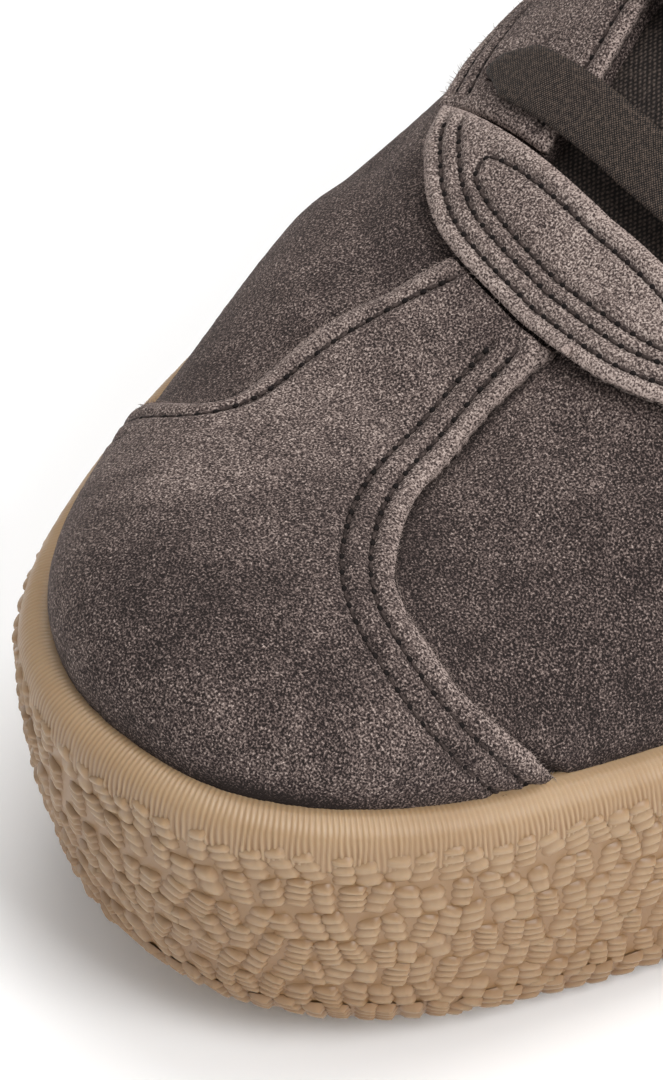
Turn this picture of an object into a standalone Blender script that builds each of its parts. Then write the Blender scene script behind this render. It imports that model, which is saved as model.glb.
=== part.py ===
"""Low skateboarding shoe for the right foot: a suede upper on a rubber cup sole.

Frame: metres, +Z up, toe towards -Y, the inner side of the foot towards +X,
origin on the floor in the middle of the sole. Every form is worked out from the
named sizes and the short tables below, first in the last's own frame: x across,
d back from the toe, z up from the floor.
"""

import math

import bmesh
import bpy
import numpy as np
from mathutils import Vector
from mathutils.bvhtree import BVHTree

# Last
LAST_LENGTH = 0.280
BALL_WIDTH = 0.100
TOE_SPRING = 0.0065
SPRING_REACH = 0.100
SPRING_POWER = 2.2
SPRING_LIMIT = 1.2
INSTEP_HEIGHT = 0.1125
BELLY_SWELL = 0.0010
BELLY_HEIGHT = 0.029
LATERAL_FULLNESS = 0.86
FULLNESS_START = 0.015
FULLNESS_REACH = 0.040

# Sole
RIM_HEIGHT = 0.034
RIM_BAND = 0.0047
SIDE_SWELL = 0.0050
TOE_TUCK = 0.0088
TUCK_REACH = 0.125
CUP_FLOOR = 0.0120
ARCH_RISE = 0.0030
EDGE_CHAMFER = 0.0035
TREAD_DEPTH = 0.0020
TREAD_WIDTH = 0.0030
TREAD_PITCH = 0.0125
TREAD_MARGIN = 0.011
FORE_TREAD_START = 0.300
FORE_TREAD_GROOVES = 6
HEEL_TREAD_START = 0.745
HEEL_TREAD_GROOVES = 5
SHEET_MARGIN = BALL_WIDTH / 3

# Upper and what lies on it
WALL = 0.0022
PADDED_WALL = 0.0060
PAD_DEPTH = 0.024
PAD_START = 0.56
PAD_RISE = 0.10
OVERLAY = 0.0016
THROAT_BAR_THICKNESS = 0.0026
BAR_DEPTH = 0.0145
GAP = 0.0003
THROAT_FRONT = 0.0795
COLLAR_FRONT = 0.140
EYELET_RADIUS = 0.0022
EYELET_SIDES = 8

# Tongue, insole and lace
TONGUE_THICKNESS = 0.0060
TONGUE_START = 0.063
TONGUE_END = 0.152
INSOLE_THICKNESS = 0.0060
LACE_WIDTH = 0.0080
LACE_THICKNESS = 0.0013

# Fineness of the faceted forms
STATIONS = 42
RIB_ROWS = 12
LACE_STEPS = 16
COLLAR_STEPS = 31
THROAT_STEPS = 8
SEAM_STEPS = 23
BAR_STEPS = 13
ROUND_STEPS = 900
TONGUE_SHARES = (0.0, 0.04, 0.10, 0.3, 0.5, 0.7, 0.85, 0.92, 0.96, 0.985, 1.0)


class Table:
    """Rows of numbers under named columns, read smoothly along the first one."""

    def __init__(self, columns, rows):
        self.columns = columns.split()
        self.rows = np.array(rows, dtype=float)

    def column(self, name):
        return self.rows[:, self.columns.index(name)]

    def at(self, name, place):
        """Value of a column at a place, on a cubic that never overshoots its rows."""
        xs = self.column(self.columns[0])
        ys = self.column(name)
        steps = np.diff(xs)
        slopes = np.diff(ys) / steps
        tangents = np.concatenate([slopes[:1], np.zeros(len(slopes) - 1), slopes[-1:]])
        for i in range(1, len(slopes)):
            before, after = slopes[i - 1], slopes[i]
            if before * after > 0:
                a = 2 * steps[i] + steps[i - 1]
                b = steps[i] + 2 * steps[i - 1]
                tangents[i] = (a + b) / (a / before + b / after)
        x = np.clip(np.asarray(place, dtype=float), xs[0], xs[-1])
        i = np.clip(np.searchsorted(xs, x, side="right") - 1, 0, len(slopes) - 1)
        t = (x - xs[i]) / steps[i]
        start = (2 * t**3 - 3 * t**2 + 1) * ys[i] + (t**3 - 2 * t**2 + t) * steps[i] * tangents[i]
        end = (3 * t**2 - 2 * t**3) * ys[i + 1] + (t**3 - t**2) * steps[i] * tangents[i + 1]
        return start + end


# Outline of the last where it meets the rim: share of the length, shares of the ball width
OUTLINE = Table("along medial lateral", (
    (0.000, 0.078, 0.078),
    (0.012, 0.241, -0.051),
    (0.040, 0.332, -0.157),
    (0.090, 0.402, -0.269),
    (0.160, 0.438, -0.385),
    (0.250, 0.459, -0.493),
    (0.345, 0.465, -0.535),
    (0.440, 0.430, -0.515),
    (0.560, 0.361, -0.439),
    (0.680, 0.332, -0.385),
    (0.800, 0.337, -0.351),
    (0.890, 0.327, -0.317),
    (0.955, 0.254, -0.249),
    (0.990, 0.127, -0.127),
    (1.000, 0.000, 0.000),
))

# Top line of the last: share of the length, share of the instep height, share of the ball width
RIDGE = Table("along height shift", (
    (0.000, 0.475, 0.050),
    (0.105, 0.508, 0.040),
    (0.170, 0.510, 0.025),
    (0.220, 0.551, 0.010),
    (0.280, 0.625, -0.012),
    (0.340, 0.732, -0.034),
    (0.420, 0.868, -0.036),
    (0.500, 1.000, -0.035),
    (0.600, 1.200, -0.015),
    (1.000, 1.293, 0.000),
))

# Ribs that climb from the rim to the top line: where each meets it, and how full it is
RIBS = Table("along meets side top", (
    (0.00, 0.105, 0.776, 0.769),
    (0.10, 0.164, 0.857, 0.947),
    (0.20, 0.235, 0.954, 0.822),
    (0.30, 0.318, 1.078, 0.988),
    (0.38, 0.388, 1.030, 0.950),
    (0.50, 0.497, 0.880, 0.800),
    (0.65, 0.622, 0.790, 0.760),
    (0.85, 0.750, 0.740, 0.740),
    (1.00, 0.790, 0.750, 0.720),
))

# Sole along its length: shares of the rim height, of the cup floor and of the arch rise
SOLE = Table("along rim floor arch", (
    (0.00, 1.085, 1.05, 0.0),
    (0.30, 1.003, 1.00, 0.0),
    (0.47, 0.900, 1.06, 0.0),
    (0.59, 0.865, 1.20, 1.0),
    (0.72, 0.890, 1.30, 0.0),
    (1.00, 0.970, 1.35, 0.0),
))

# Side of the sole from the rim down: share of the rim band passed, share of the wall
# below the band passed, share of the side swell that it stands out
SIDE = Table("step band wall swell", (
    (0, 0.00, 0.00, 0.24),
    (1, 0.12, 0.00, 0.46),
    (2, 0.35, 0.00, 0.64),
    (3, 1.00, 0.00, 0.76),
    (4, 1.08, 0.00, 0.74),
    (5, 1.08, 0.30, 0.86),
    (6, 1.08, 0.62, 0.96),
    (7, 1.08, 0.86, 1.06),
    (8, 1.08, 0.96, 0.90),
))

# Collar line seen from the side: share of the length, share of the instep height
COLLAR = Table("along height", (
    (0.470, 1.130),
    (0.500, 0.985),
    (0.530, 0.875),
    (0.580, 0.745),
    (0.640, 0.650),
    (0.720, 0.600),
    (0.800, 0.620),
    (0.880, 0.680),
    (0.950, 0.742),
    (1.050, 0.765),
))

# Throat and eyestay legs seen from above: place behind the throat's front edge as a share
# of the throat's length, half widths as shares of the ball width
THROAT = Table("along inner outer", (
    (0.00, 0.125, 0.335),
    (0.15, 0.140, 0.385),
    (0.30, 0.172, 0.405),
    (0.50, 0.195, 0.400),
    (0.75, 0.212, 0.375),
    (1.10, 0.225, 0.340),
))

# Lace holes: place as in the table above, distance from the throat's middle
EYELETS = Table("along out", (
    (0.10, 0.290),
    (0.37, 0.275),
    (0.64, 0.290),
    (0.87, 0.300),
))

# Seam of the toe piece seen from above, for the medial and the lateral side: out from the
# throat's middle as a share of the ball width, back as a share of the way from the toe to
# the throat's front
TOE_SEAM = Table("step medial medial_back lateral lateral_back", (
    (0, 0.540, 0.600, 0.540, 0.600),
    (1, 0.448, 0.503, 0.448, 0.503),
    (2, 0.437, 0.457, 0.437, 0.457),
    (3, 0.405, 0.420, 0.400, 0.416),
    (4, 0.350, 0.394, 0.330, 0.394),
    (5, 0.290, 0.393, 0.245, 0.395),
    (6, 0.235, 0.405, 0.180, 0.415),
    (7, 0.180, 0.457, 0.154, 0.460),
    (8, 0.133, 0.527, 0.163, 0.535),
    (9, 0.108, 0.600, 0.167, 0.600),
    (10, 0.080, 0.720, 0.150, 0.717),
    (11, 0.068, 0.845, 0.118, 0.845),
))

# Front edge of the throat bar, out from the throat's middle as a share of the ball width,
# ahead of the throat's front as a share of the bar's depth
BAR_EDGE = Table("step out ahead", (
    (0, 0.330, 0.04),
    (1, 0.302, 0.33),
    (2, 0.256, 0.58),
    (3, 0.200, 0.81),
    (4, 0.140, 0.945),
    (5, 0.070, 0.993),
    (6, 0.000, 1.00),
))

# Tongue seen from above: share of its length, half width as a share of the ball width
TONGUE = Table("along half", (
    (0.00, 0.210),
    (0.08, 0.255),
    (0.50, 0.290),
    (0.88, 0.315),
    (0.96, 0.285),
    (1.00, 0.200),
))

THROAT_LENGTH = COLLAR_FRONT - THROAT_FRONT
UPPER_INSET = OVERLAY + GAP
THROAT_REACH = 1.1
CUT_LOW = INSTEP_HEIGHT * 0.3
CUT_TOP = INSTEP_HEIGHT * 1.6


def closed_curve(points, count):
    """Points evenly spaced in parameter on a smooth closed curve through the given ones."""
    total = len(points)
    spans = np.linalg.norm(np.roll(points, -1, axis=0) - points, axis=1) ** 0.5
    knots = np.concatenate([[0.0], np.cumsum(spans)])
    tangents = np.zeros_like(points)
    for i in range(total):
        before = (points[i] - points[i - 1]) / spans[i - 1]
        after = (points[(i + 1) % total] - points[i]) / spans[i]
        tangents[i] = (before * spans[i] + after * spans[i - 1]) / (spans[i - 1] + spans[i])
    s = np.linspace(0.0, knots[-1], count, endpoint=False)
    i = np.clip(np.searchsorted(knots, s, side="right") - 1, 0, total - 1)
    j = (i + 1) % total
    t = ((s - knots[i]) / spans[i])[:, None]
    h = spans[i][:, None]
    start = (2 * t**3 - 3 * t**2 + 1) * points[i] + (t**3 - 2 * t**2 + t) * h * tangents[i]
    end = (3 * t**2 - 2 * t**3) * points[j] + (t**3 - t**2) * h * tangents[j]
    return start + end


class Outline:
    """Plan of the last at the rim, as stations that both sides share."""

    def __init__(self):
        along = OUTLINE.column("along")
        medial = np.column_stack([along * LAST_LENGTH, OUTLINE.column("medial") * BALL_WIDTH])
        lateral = np.column_stack([along * LAST_LENGTH, OUTLINE.column("lateral") * BALL_WIDTH])
        curve = closed_curve(np.vstack([medial, lateral[1:-1][::-1]]), ROUND_STEPS)
        curve = np.roll(curve, -curve[:, 0].argmin(), axis=0)
        heel = curve[:, 0].argmax()
        self.medial = curve[: heel + 1]
        self.lateral = np.vstack([curve[:1], curve[heel:][::-1]])
        self.toe = curve[0, 0]
        self.heel = curve[heel, 0]
        run = np.concatenate([[0.0], np.cumsum(np.linalg.norm(np.diff(self.medial, axis=0), axis=1))])
        self.stations = np.interp(np.linspace(0, run[-1], STATIONS + 1), run, self.medial[:, 0])

    def across(self, d, side):
        """Distance from the last's axis to the outline at d on a side, +1 medial, -1 lateral."""
        line = self.medial if side > 0 else self.lateral
        return np.interp(d, line[:, 0], line[:, 1])

    def loop(self):
        """The stations once around: toe, medial side, heel, lateral side, as (x, d)."""
        inner = self.stations[1:-1]
        toe = [[self.medial[0, 1], self.toe]]
        heel = [[self.medial[-1, 1], self.heel]]
        medial = np.column_stack([self.across(inner, 1), inner])
        lateral = np.column_stack([self.across(inner, -1), inner])[::-1]
        return np.vstack([toe, medial, heel, lateral])

    def middle(self, d):
        return (self.across(d, 1) + self.across(d, -1)) / 2


PLAN = Outline()


def outward(loop):
    """Unit vectors pointing out of a loop of plan points that runs counter-clockwise."""
    along = np.roll(loop, -1, axis=0) - np.roll(loop, 1, axis=0)
    along /= np.linalg.norm(along, axis=1)[:, None]
    normals = np.column_stack([along[:, 1], -along[:, 0]])
    centre = loop.mean(axis=0)
    return normals * np.sign(((loop - centre) * normals).sum())


def spring_height(d):
    """Lift of the toe: nothing from SPRING_REACH back, the full spring at the tip."""
    return TOE_SPRING * np.clip(1 - d / SPRING_REACH, 0, SPRING_LIMIT) ** SPRING_POWER


def bottom_height(d):
    """Height of the tread: toe spring in front, arch between ball and heel."""
    return spring_height(d) + ARCH_RISE * SOLE.at("arch", d / LAST_LENGTH)


def rim_height(d):
    return spring_height(d) + RIM_HEIGHT * SOLE.at("rim", d / LAST_LENGTH)


def floor_height(d):
    return spring_height(d) + CUP_FLOOR * SOLE.at("floor", d / LAST_LENGTH)


def side_ring(loop, normals, row):
    """One ring of the sole's side, from the SIDE table, tucked in under the toe."""
    swell = SIDE.at("swell", row) * SIDE_SWELL
    top = rim_height(loop[:, 1])
    drop = RIM_BAND * SIDE.at("band", row)
    below = (top - drop - bottom_height(loop[:, 1])) * SIDE.at("wall", row)
    low = (drop + below) / (top - bottom_height(loop[:, 1]))
    toe = np.clip(1 - loop[:, 1] / TUCK_REACH, 0, 1)
    out = swell - TOE_TUCK * toe * low**2
    moved = loop + normals * out[:, None]
    return np.column_stack([moved, top - drop - below])


def sole_centre():
    """Middle of the sole's plan, which is set over the origin."""
    loop = PLAN.loop()
    rings = np.vstack([side_ring(loop, outward(loop), row) for row in range(len(SIDE.rows))])
    return (rings[:, :2].max(axis=0) + rings[:, :2].min(axis=0)) / 2


CENTRE = sole_centre()


def place(points):
    """Points of the last's frame (x, d, z) moved to the part's frame."""
    return np.asarray(points, dtype=float) - np.array([CENTRE[0], CENTRE[1], 0.0])


def collection(name):
    made = bpy.data.collections.new(name)
    bpy.context.scene.collection.children.link(made)
    return made


def material(name, colour, roughness):
    made = bpy.data.materials.new(name)
    made.use_nodes = True
    shader = made.node_tree.nodes["Principled BSDF"]
    shader.inputs["Base Color"].default_value = (*colour, 1.0)
    shader.inputs["Roughness"].default_value = roughness
    shader.inputs["Metallic"].default_value = 0.0
    made.diffuse_color = (*colour, 1.0)
    return made


def add_object(name, vertices, faces, where, finish=None):
    """Mesh object from points in the part's frame, with its faces turned outwards."""
    mesh = bpy.data.meshes.new(name)
    shape = bmesh.new()
    points = [shape.verts.new(v) for v in vertices]
    for face in faces:
        shape.faces.new([points[i] for i in face])
    bmesh.ops.recalc_face_normals(shape, faces=shape.faces)
    shape.to_mesh(mesh)
    shape.free()
    made = bpy.data.objects.new(name, mesh)
    if finish is not None:
        mesh.materials.append(finish)
        mesh.shade_smooth()
        mesh.set_sharp_from_angle(angle=math.radians(40))
    where.objects.link(made)
    return made


def ring_faces(rings, count):
    """Quads between rings of the same number of points, numbered one ring after another."""
    faces = []
    for r in range(rings - 1):
        for i in range(count):
            j = (i + 1) % count
            faces.append((r * count + i, r * count + j, (r + 1) * count + j, (r + 1) * count + i))
    return faces


def spine_faces(ring_start, spine_start, count):
    """Faces from a ring of 2n points onto a line of n + 1 points that closes it."""
    half = count // 2
    faces = []
    for i in range(count):
        j = (i + 1) % count
        a = spine_start + (i if i <= half else count - i)
        b = spine_start + (j if j <= half else count - j)
        faces.append((ring_start + i, ring_start + j, b, a))
    return faces


def spine(height, margin):
    """Line down the middle of a sheet that a ring of stations closes onto."""
    share = (PLAN.stations - PLAN.toe) / (PLAN.heel - PLAN.toe)
    d = PLAN.toe + margin + (PLAN.heel - PLAN.toe - 2 * margin) * share
    return np.column_stack([PLAN.middle(d), d, height(d)])


def sheet(edge, height, margin):
    """Rings and spine that fill a ring of stations with a sheet of the given height."""
    line = spine(height, margin)
    half = len(line) - 1
    order = [i if i <= half else 2 * half - i for i in range(2 * half)]
    between = (edge + line[order]) / 2
    between[:, 2] = height(between[:, 1])
    return between, line


def rib_points(k, side):
    """Points of the rib that climbs from station k on a side to the top line."""
    d = PLAN.stations[k]
    share = d / LAST_LENGTH
    meets = RIBS.at("meets", share)
    foot = np.array([PLAN.across(d, side), d])
    top = np.array([RIDGE.at("shift", meets) * BALL_WIDTH, meets * LAST_LENGTH])
    angle = np.linspace(0, math.pi / 2, RIB_ROWS + 1)
    full = 1.0
    if side < 0:
        full += (LATERAL_FULLNESS - 1) * np.clip((d - FULLNESS_START) / FULLNESS_REACH, 0, 1)
    rise = np.sin(angle) ** (RIBS.at("top", share) * full)
    lean = 1 - np.maximum(np.cos(angle), 0.0) ** (RIBS.at("side", share) * full)
    height = (RIDGE.at("height", meets) * INSTEP_HEIGHT - rim_height(d)) * rise
    part = np.clip(height / BELLY_HEIGHT, 0, 1)
    swell = BELLY_SWELL * 6.75 * part * (1 - part) ** 2
    plan = foot + np.outer(lean, top - foot)
    return plan, rim_height(d) + height, swell


def last_grid():
    """The last's skin as rings of stations from the rim up, and the top line."""
    loop = PLAN.loop()
    normals = outward(loop)
    half = STATIONS
    rings = np.zeros((RIB_ROWS, 2 * half, 3))
    line = np.zeros((half + 1, 3))
    for i in range(2 * half):
        k, side = (i, 1) if i <= half else (2 * half - i, -1)
        plan, height, swell = rib_points(k, side)
        rings[:, i, :2] = plan[:-1] + swell[:-1, None] * normals[i]
        rings[:, i, 2] = height[:-1]
        line[k] = (*plan[-1], height[-1])
    return rings, line


def skin_mesh():
    """Vertices and faces of the last's skin, rim row first, top line last."""
    rings, line = last_grid()
    count = rings.shape[1]
    vertices = np.vstack([rings.reshape(-1, 3), line])
    faces = ring_faces(RIB_ROWS, count)
    faces += spine_faces((RIB_ROWS - 1) * count, RIB_ROWS * count, count)
    return vertices, [tuple(dict.fromkeys(face)) for face in faces]


def skin_normals(vertices, faces):
    shape = bmesh.new()
    points = [shape.verts.new(v) for v in vertices]
    for face in faces:
        shape.faces.new([points[i] for i in face])
    bmesh.ops.recalc_face_normals(shape, faces=shape.faces)
    shape.normal_update()
    normals = np.array([v.normal for v in points])
    shape.free()
    up = normals[-len(PLAN.stations):, 2].sum()
    return normals if up > 0 else -normals


SKIN, SKIN_FACES = skin_mesh()
SKIN_NORMALS = skin_normals(SKIN, SKIN_FACES)
RING_COUNT = 2 * STATIONS


def skin_at(offset):
    """The last's skin moved along its own normals, out for a positive offset."""
    return SKIN + SKIN_NORMALS * offset


def throat_middle(d):
    return RIDGE.at("shift", d / LAST_LENGTH) * BALL_WIDTH


def thickness(made, depth, direction):
    """Solidify an open skin: direction +1 adds the wall outside, -1 inside."""
    shell = made.modifiers.new("Wall", "SOLIDIFY")
    shell.thickness = depth
    shell.offset = direction
    shell.use_even_offset = True
    shell.use_quality_normals = True
    return shell


def cut(made, cutter, operation="DIFFERENCE"):
    step = made.modifiers.new("Cut", "BOOLEAN")
    step.operation = operation
    step.solver = "EXACT"
    step.object = cutter


def prism(name, outline, low, high, axis, where):
    """Closed prism over an outline, along Z from a plan outline or along X from a side one."""
    outline = np.asarray(outline, dtype=float)
    if axis == "Z":
        base = place(np.column_stack([outline, np.full(len(outline), low)]))
        move = Vector((0, 0, high - low))
    else:
        base = place(np.column_stack([np.full(len(outline), low), outline]))
        move = Vector((high - low, 0, 0))
    mesh = bpy.data.meshes.new(name)
    shape = bmesh.new()
    face = shape.faces.new([shape.verts.new(v) for v in base])
    raised = bmesh.ops.extrude_face_region(shape, geom=[face])
    moved = [v for v in raised["geom"] if isinstance(v, bmesh.types.BMVert)]
    bmesh.ops.translate(shape, vec=move, verts=moved)
    bmesh.ops.recalc_face_normals(shape, faces=shape.faces)
    shape.to_mesh(mesh)
    shape.free()
    made = bpy.data.objects.new(name, mesh)
    made.hide_render = True
    made.display_type = "WIRE"
    where.objects.link(made)
    return made


def both_sides(medial, middle, lateral=None):
    """Plan outline from (out, back) rows, the same on both sides where only one is given."""
    near = [(middle + out, back) for out, back in medial]
    far = [(middle - out, back) for out, back in reversed(lateral or medial)]
    return near + far


def throat_rows(column, extra, start):
    """Half widths of the throat from a front place to its rear end, as (out, back) rows."""
    shares = np.linspace(start, THROAT_REACH, THROAT_STEPS)
    outs = THROAT.at(column, shares) * BALL_WIDTH + extra
    return [(out, THROAT_FRONT + share * THROAT_LENGTH) for out, share in zip(outs, shares)]


def make_cupsole(parts, cutters):
    """Rubber cup: swelling side with a rim band, floor inside, chamfered grooved tread."""
    loop = PLAN.loop()
    normals = outward(loop)
    count = len(loop)
    inner = loop - normals * (UPPER_INSET - GAP)
    side = [side_ring(loop, normals, row) for row in range(len(SIDE.rows))]
    low_edge = side[-1]
    tread = low_edge[:, :2] - normals * EDGE_CHAMFER
    tread = np.column_stack([tread, bottom_height(tread[:, 1])])
    tread_mid, tread_spine = sheet(tread, bottom_height, SHEET_MARGIN)
    lip = np.column_stack([inner, rim_height(loop[:, 1])])
    well = np.column_stack([inner, floor_height(loop[:, 1])])
    well_mid, well_spine = sheet(well, floor_height, SHEET_MARGIN)
    rings = [well_mid, well, lip, *side, tread, tread_mid]
    vertices = np.vstack([*rings, well_spine, tread_spine])
    faces = ring_faces(len(rings), count)
    first_spine = len(rings) * count
    faces += spine_faces(0, first_spine, count)
    faces += spine_faces((len(rings) - 1) * count, first_spine + STATIONS + 1, count)
    faces = [tuple(dict.fromkeys(face)) for face in faces]
    gum = material("gum_rubber", (0.53, 0.34, 0.16), 0.55)
    made = add_object("cupsole", place(vertices), faces, parts, gum)
    places = [FORE_TREAD_START * LAST_LENGTH + i * TREAD_PITCH for i in range(FORE_TREAD_GROOVES)]
    places += [HEEL_TREAD_START * LAST_LENGTH + i * TREAD_PITCH for i in range(HEEL_TREAD_GROOVES)]
    for number, d in enumerate(places):
        medial = PLAN.across(d, 1) - TREAD_MARGIN
        lateral = PLAN.across(d, -1) + TREAD_MARGIN
        front, back = d - TREAD_WIDTH / 2, d + TREAD_WIDTH / 2
        groove = [(lateral, front), (medial, front), (medial, back), (lateral, back)]
        cut(made, prism(f"groove_{number}", groove, -TREAD_WIDTH, TREAD_DEPTH, "Z", cutters))
    return made


def make_insole(parts):
    """Foam insole that lies in the cup, inside the upper."""
    loop = PLAN.loop()
    normals = outward(loop)
    count = len(loop)
    edge = loop - normals * (UPPER_INSET + PADDED_WALL + GAP)

    def under(d):
        return floor_height(d) + GAP

    def over(d):
        return under(d) + INSOLE_THICKNESS

    low = np.column_stack([edge, under(edge[:, 1])])
    high = np.column_stack([edge, over(edge[:, 1])])
    low_mid, low_spine = sheet(low, under, SHEET_MARGIN)
    high_mid, high_spine = sheet(high, over, SHEET_MARGIN)
    rings = [low_mid, low, high, high_mid]
    faces = ring_faces(len(rings), count)
    faces += spine_faces(0, 4 * count, count)
    faces += spine_faces(3 * count, 4 * count + STATIONS + 1, count)
    faces = [tuple(dict.fromkeys(face)) for face in faces]
    foam = material("insole_foam", (0.10, 0.09, 0.085), 0.95)
    vertices = np.vstack([*rings, low_spine, high_spine])
    return add_object("insole", place(vertices), faces, parts, foam)


def collar_cutter(cutters):
    """Everything above the collar line, as a prism across the shoe."""
    along = np.linspace(COLLAR.column("along")[0], COLLAR.column("along")[-1], COLLAR_STEPS)
    line = np.column_stack([along * LAST_LENGTH, COLLAR.at("height", along) * INSTEP_HEIGHT])
    outline = [*line, (line[-1, 0], CUT_TOP), (line[0, 0], CUT_TOP)]
    return prism("collar_cut", outline, -BALL_WIDTH, BALL_WIDTH, "X", cutters)


def throat_cutter(cutters):
    """The opening over the tongue, from its front edge back past the collar's front."""
    middle = throat_middle(THROAT_FRONT + THROAT_LENGTH / 2)
    outline = both_sides(throat_rows("inner", 2 * GAP, 0.0), middle)
    return prism("throat_cut", outline, CUT_LOW, CUT_TOP, "Z", cutters)


def eyelet_places():
    """Centre and outward direction of each lace hole on the last's skin."""
    tree = BVHTree.FromPolygons([Vector(v) for v in SKIN], SKIN_FACES)
    middle = throat_middle(THROAT_FRONT + THROAT_LENGTH / 2)
    found = []
    for along, out in EYELETS.rows:
        for side in (1, -1):
            x = middle + side * out * BALL_WIDTH
            d = THROAT_FRONT + along * THROAT_LENGTH
            point, normal, _, _ = tree.ray_cast(Vector((x, d, INSTEP_HEIGHT * 2)), Vector((0, 0, -1)))
            found.append((side, point, normal if normal.z > 0 else -normal))
    return found


def eyelet_cutters(cutters):
    """A short pin through the leg and the upper at each lace hole."""
    pins = []
    for number, (side, point, normal) in enumerate(eyelet_places()):
        bpy.ops.mesh.primitive_cylinder_add(
            vertices=EYELET_SIDES,
            radius=EYELET_RADIUS,
            depth=4 * (UPPER_INSET + WALL),
            location=place(point),
            rotation=normal.to_track_quat("Z", "Y").to_euler(),
        )
        pin = bpy.context.object
        pin.name = f"eyelet_cut_{number}"
        pin.hide_render = True
        pin.display_type = "WIRE"
        for old in pin.users_collection:
            old.objects.unlink(pin)
        cutters.objects.link(pin)
        pins.append((side, pin))
    return pins


def make_upper(parts, collar, throat, pins):
    """Hollow suede shell of the last, open at the collar, the throat and underneath."""
    skin = skin_at(-UPPER_INSET)
    tuck = skin[:RING_COUNT].copy()
    tuck[:, 2] = floor_height(SKIN[:RING_COUNT, 1]) + GAP
    vertices = np.vstack([skin, tuck])
    base = len(skin)
    faces = list(SKIN_FACES)
    for i in range(RING_COUNT):
        j = (i + 1) % RING_COUNT
        faces.append((base + i, base + j, j, i))
    suede = material("suede", (0.085, 0.066, 0.058), 0.95)
    made = add_object("upper", place(vertices), faces, parts, suede)
    face_out(made, np.vstack([SKIN_NORMALS, SKIN_NORMALS[:RING_COUNT]]))
    shell = thickness(made, PADDED_WALL, -1)
    group = made.vertex_groups.new(name="padding")
    thin = WALL / PADDED_WALL
    for index, (x, d, z) in enumerate(vertices):
        share = d / LAST_LENGTH
        depth = COLLAR.at("height", share) * INSTEP_HEIGHT - z
        near = np.clip(1 - depth / PAD_DEPTH, 0, 1)
        back = np.clip((share - PAD_START) / PAD_RISE, 0, 1)
        near = near * near * (3 - 2 * near) * back
        group.add([index], float(thin + (1 - thin) * near), "REPLACE")
    shell.vertex_group = group.name
    cut(made, collar)
    cut(made, throat)
    for _, pin in pins:
        cut(made, pin)
    return made


def face_out(made, normals):
    """Turn an open skin's faces to the side that its points' normals show."""
    agree = sum(
        poly.normal.dot(Vector(normals[poly.vertices[0]])) * poly.area for poly in made.data.polygons
    )
    if agree < 0:
        made.data.flip_normals()


def stretch(front, back):
    """Faces of the skin whose middle lies between two distances from the toe."""
    return [face for face in SKIN_FACES if front <= SKIN[list(face), 1].mean() <= back]


def layer(name, offset, depth, faces, parts, finish):
    """A thick layer on some of the skin's faces, from an offset outwards."""
    skin = skin_at(offset)
    skin[:RING_COUNT, 2] += GAP
    used = sorted({index for face in faces for index in face})
    number = {index: count for count, index in enumerate(used)}
    numbered = [[number[index] for index in face] for face in faces]
    made = add_object(name, place(skin[used]), numbered, parts, finish)
    face_out(made, SKIN_NORMALS[used])
    thickness(made, depth, 1)
    return made


def seam_rows(side):
    """The toe piece's outline on one side, from ahead of the toe to the throat bar."""
    steps = np.linspace(0, len(TOE_SEAM.rows) - 1, SEAM_STEPS)
    outs = TOE_SEAM.at(side, steps) * BALL_WIDTH
    backs = TOE_SEAM.at(side + "_back", steps) * THROAT_FRONT
    return [(BALL_WIDTH, -BALL_WIDTH), (BALL_WIDTH, backs[0]), *zip(outs, backs)]


def make_toe_piece(parts, cutters):
    """Front overlay: a cap over the toes with a stem that runs back to the throat bar."""
    finish = material("suede_toe", (0.085, 0.066, 0.058), 0.95)
    made = layer("toe_overlay", -OVERLAY, OVERLAY, stretch(-1, COLLAR_FRONT), parts, finish)
    outline = both_sides(seam_rows("medial"), throat_middle(THROAT_FRONT), seam_rows("lateral"))
    cut(made, prism("toe_outline", outline, 0, CUT_TOP, "Z", cutters), "INTERSECT")
    cut(made, prism("toe_end", bar_outline(GAP), 0, CUT_TOP, "Z", cutters))
    return made


def bar_outline(grow):
    """Plan of the throat bar: a curved front edge and a straight rear one."""
    middle = throat_middle(THROAT_FRONT)
    steps = np.linspace(0, len(BAR_EDGE.rows) - 1, BAR_STEPS)
    outs = BAR_EDGE.at("out", steps) * BALL_WIDTH
    backs = THROAT_FRONT - BAR_EDGE.at("ahead", steps) * BAR_DEPTH
    edge = np.column_stack([outs, backs])
    if grow:
        edge = edge + np.array([grow, -grow])
        edge[-1, 0] = 0.0
    near = [(middle + out, back) for out, back in edge]
    far = [(middle - out, back) for out, back in edge[-2::-1]]
    rear = THROAT_FRONT - GAP / 2 + (LAST_LENGTH if grow else 0)
    outer = BAR_EDGE.at("out", 0) * BALL_WIDTH + grow
    return [(middle + outer, rear), *near, *far, (middle - outer, rear)]


def make_throat_bar(parts, cutters):
    """The doubled D-shaped piece in front of the throat."""
    finish = material("suede_bar", (0.10, 0.078, 0.068), 0.95)
    faces = stretch(0, COLLAR_FRONT)
    made = layer("throat_bar", -OVERLAY, THROAT_BAR_THICKNESS, faces, parts, finish)
    cut(made, prism("bar_outline", bar_outline(0), CUT_LOW, CUT_TOP, "Z", cutters), "INTERSECT")
    return made


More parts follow.
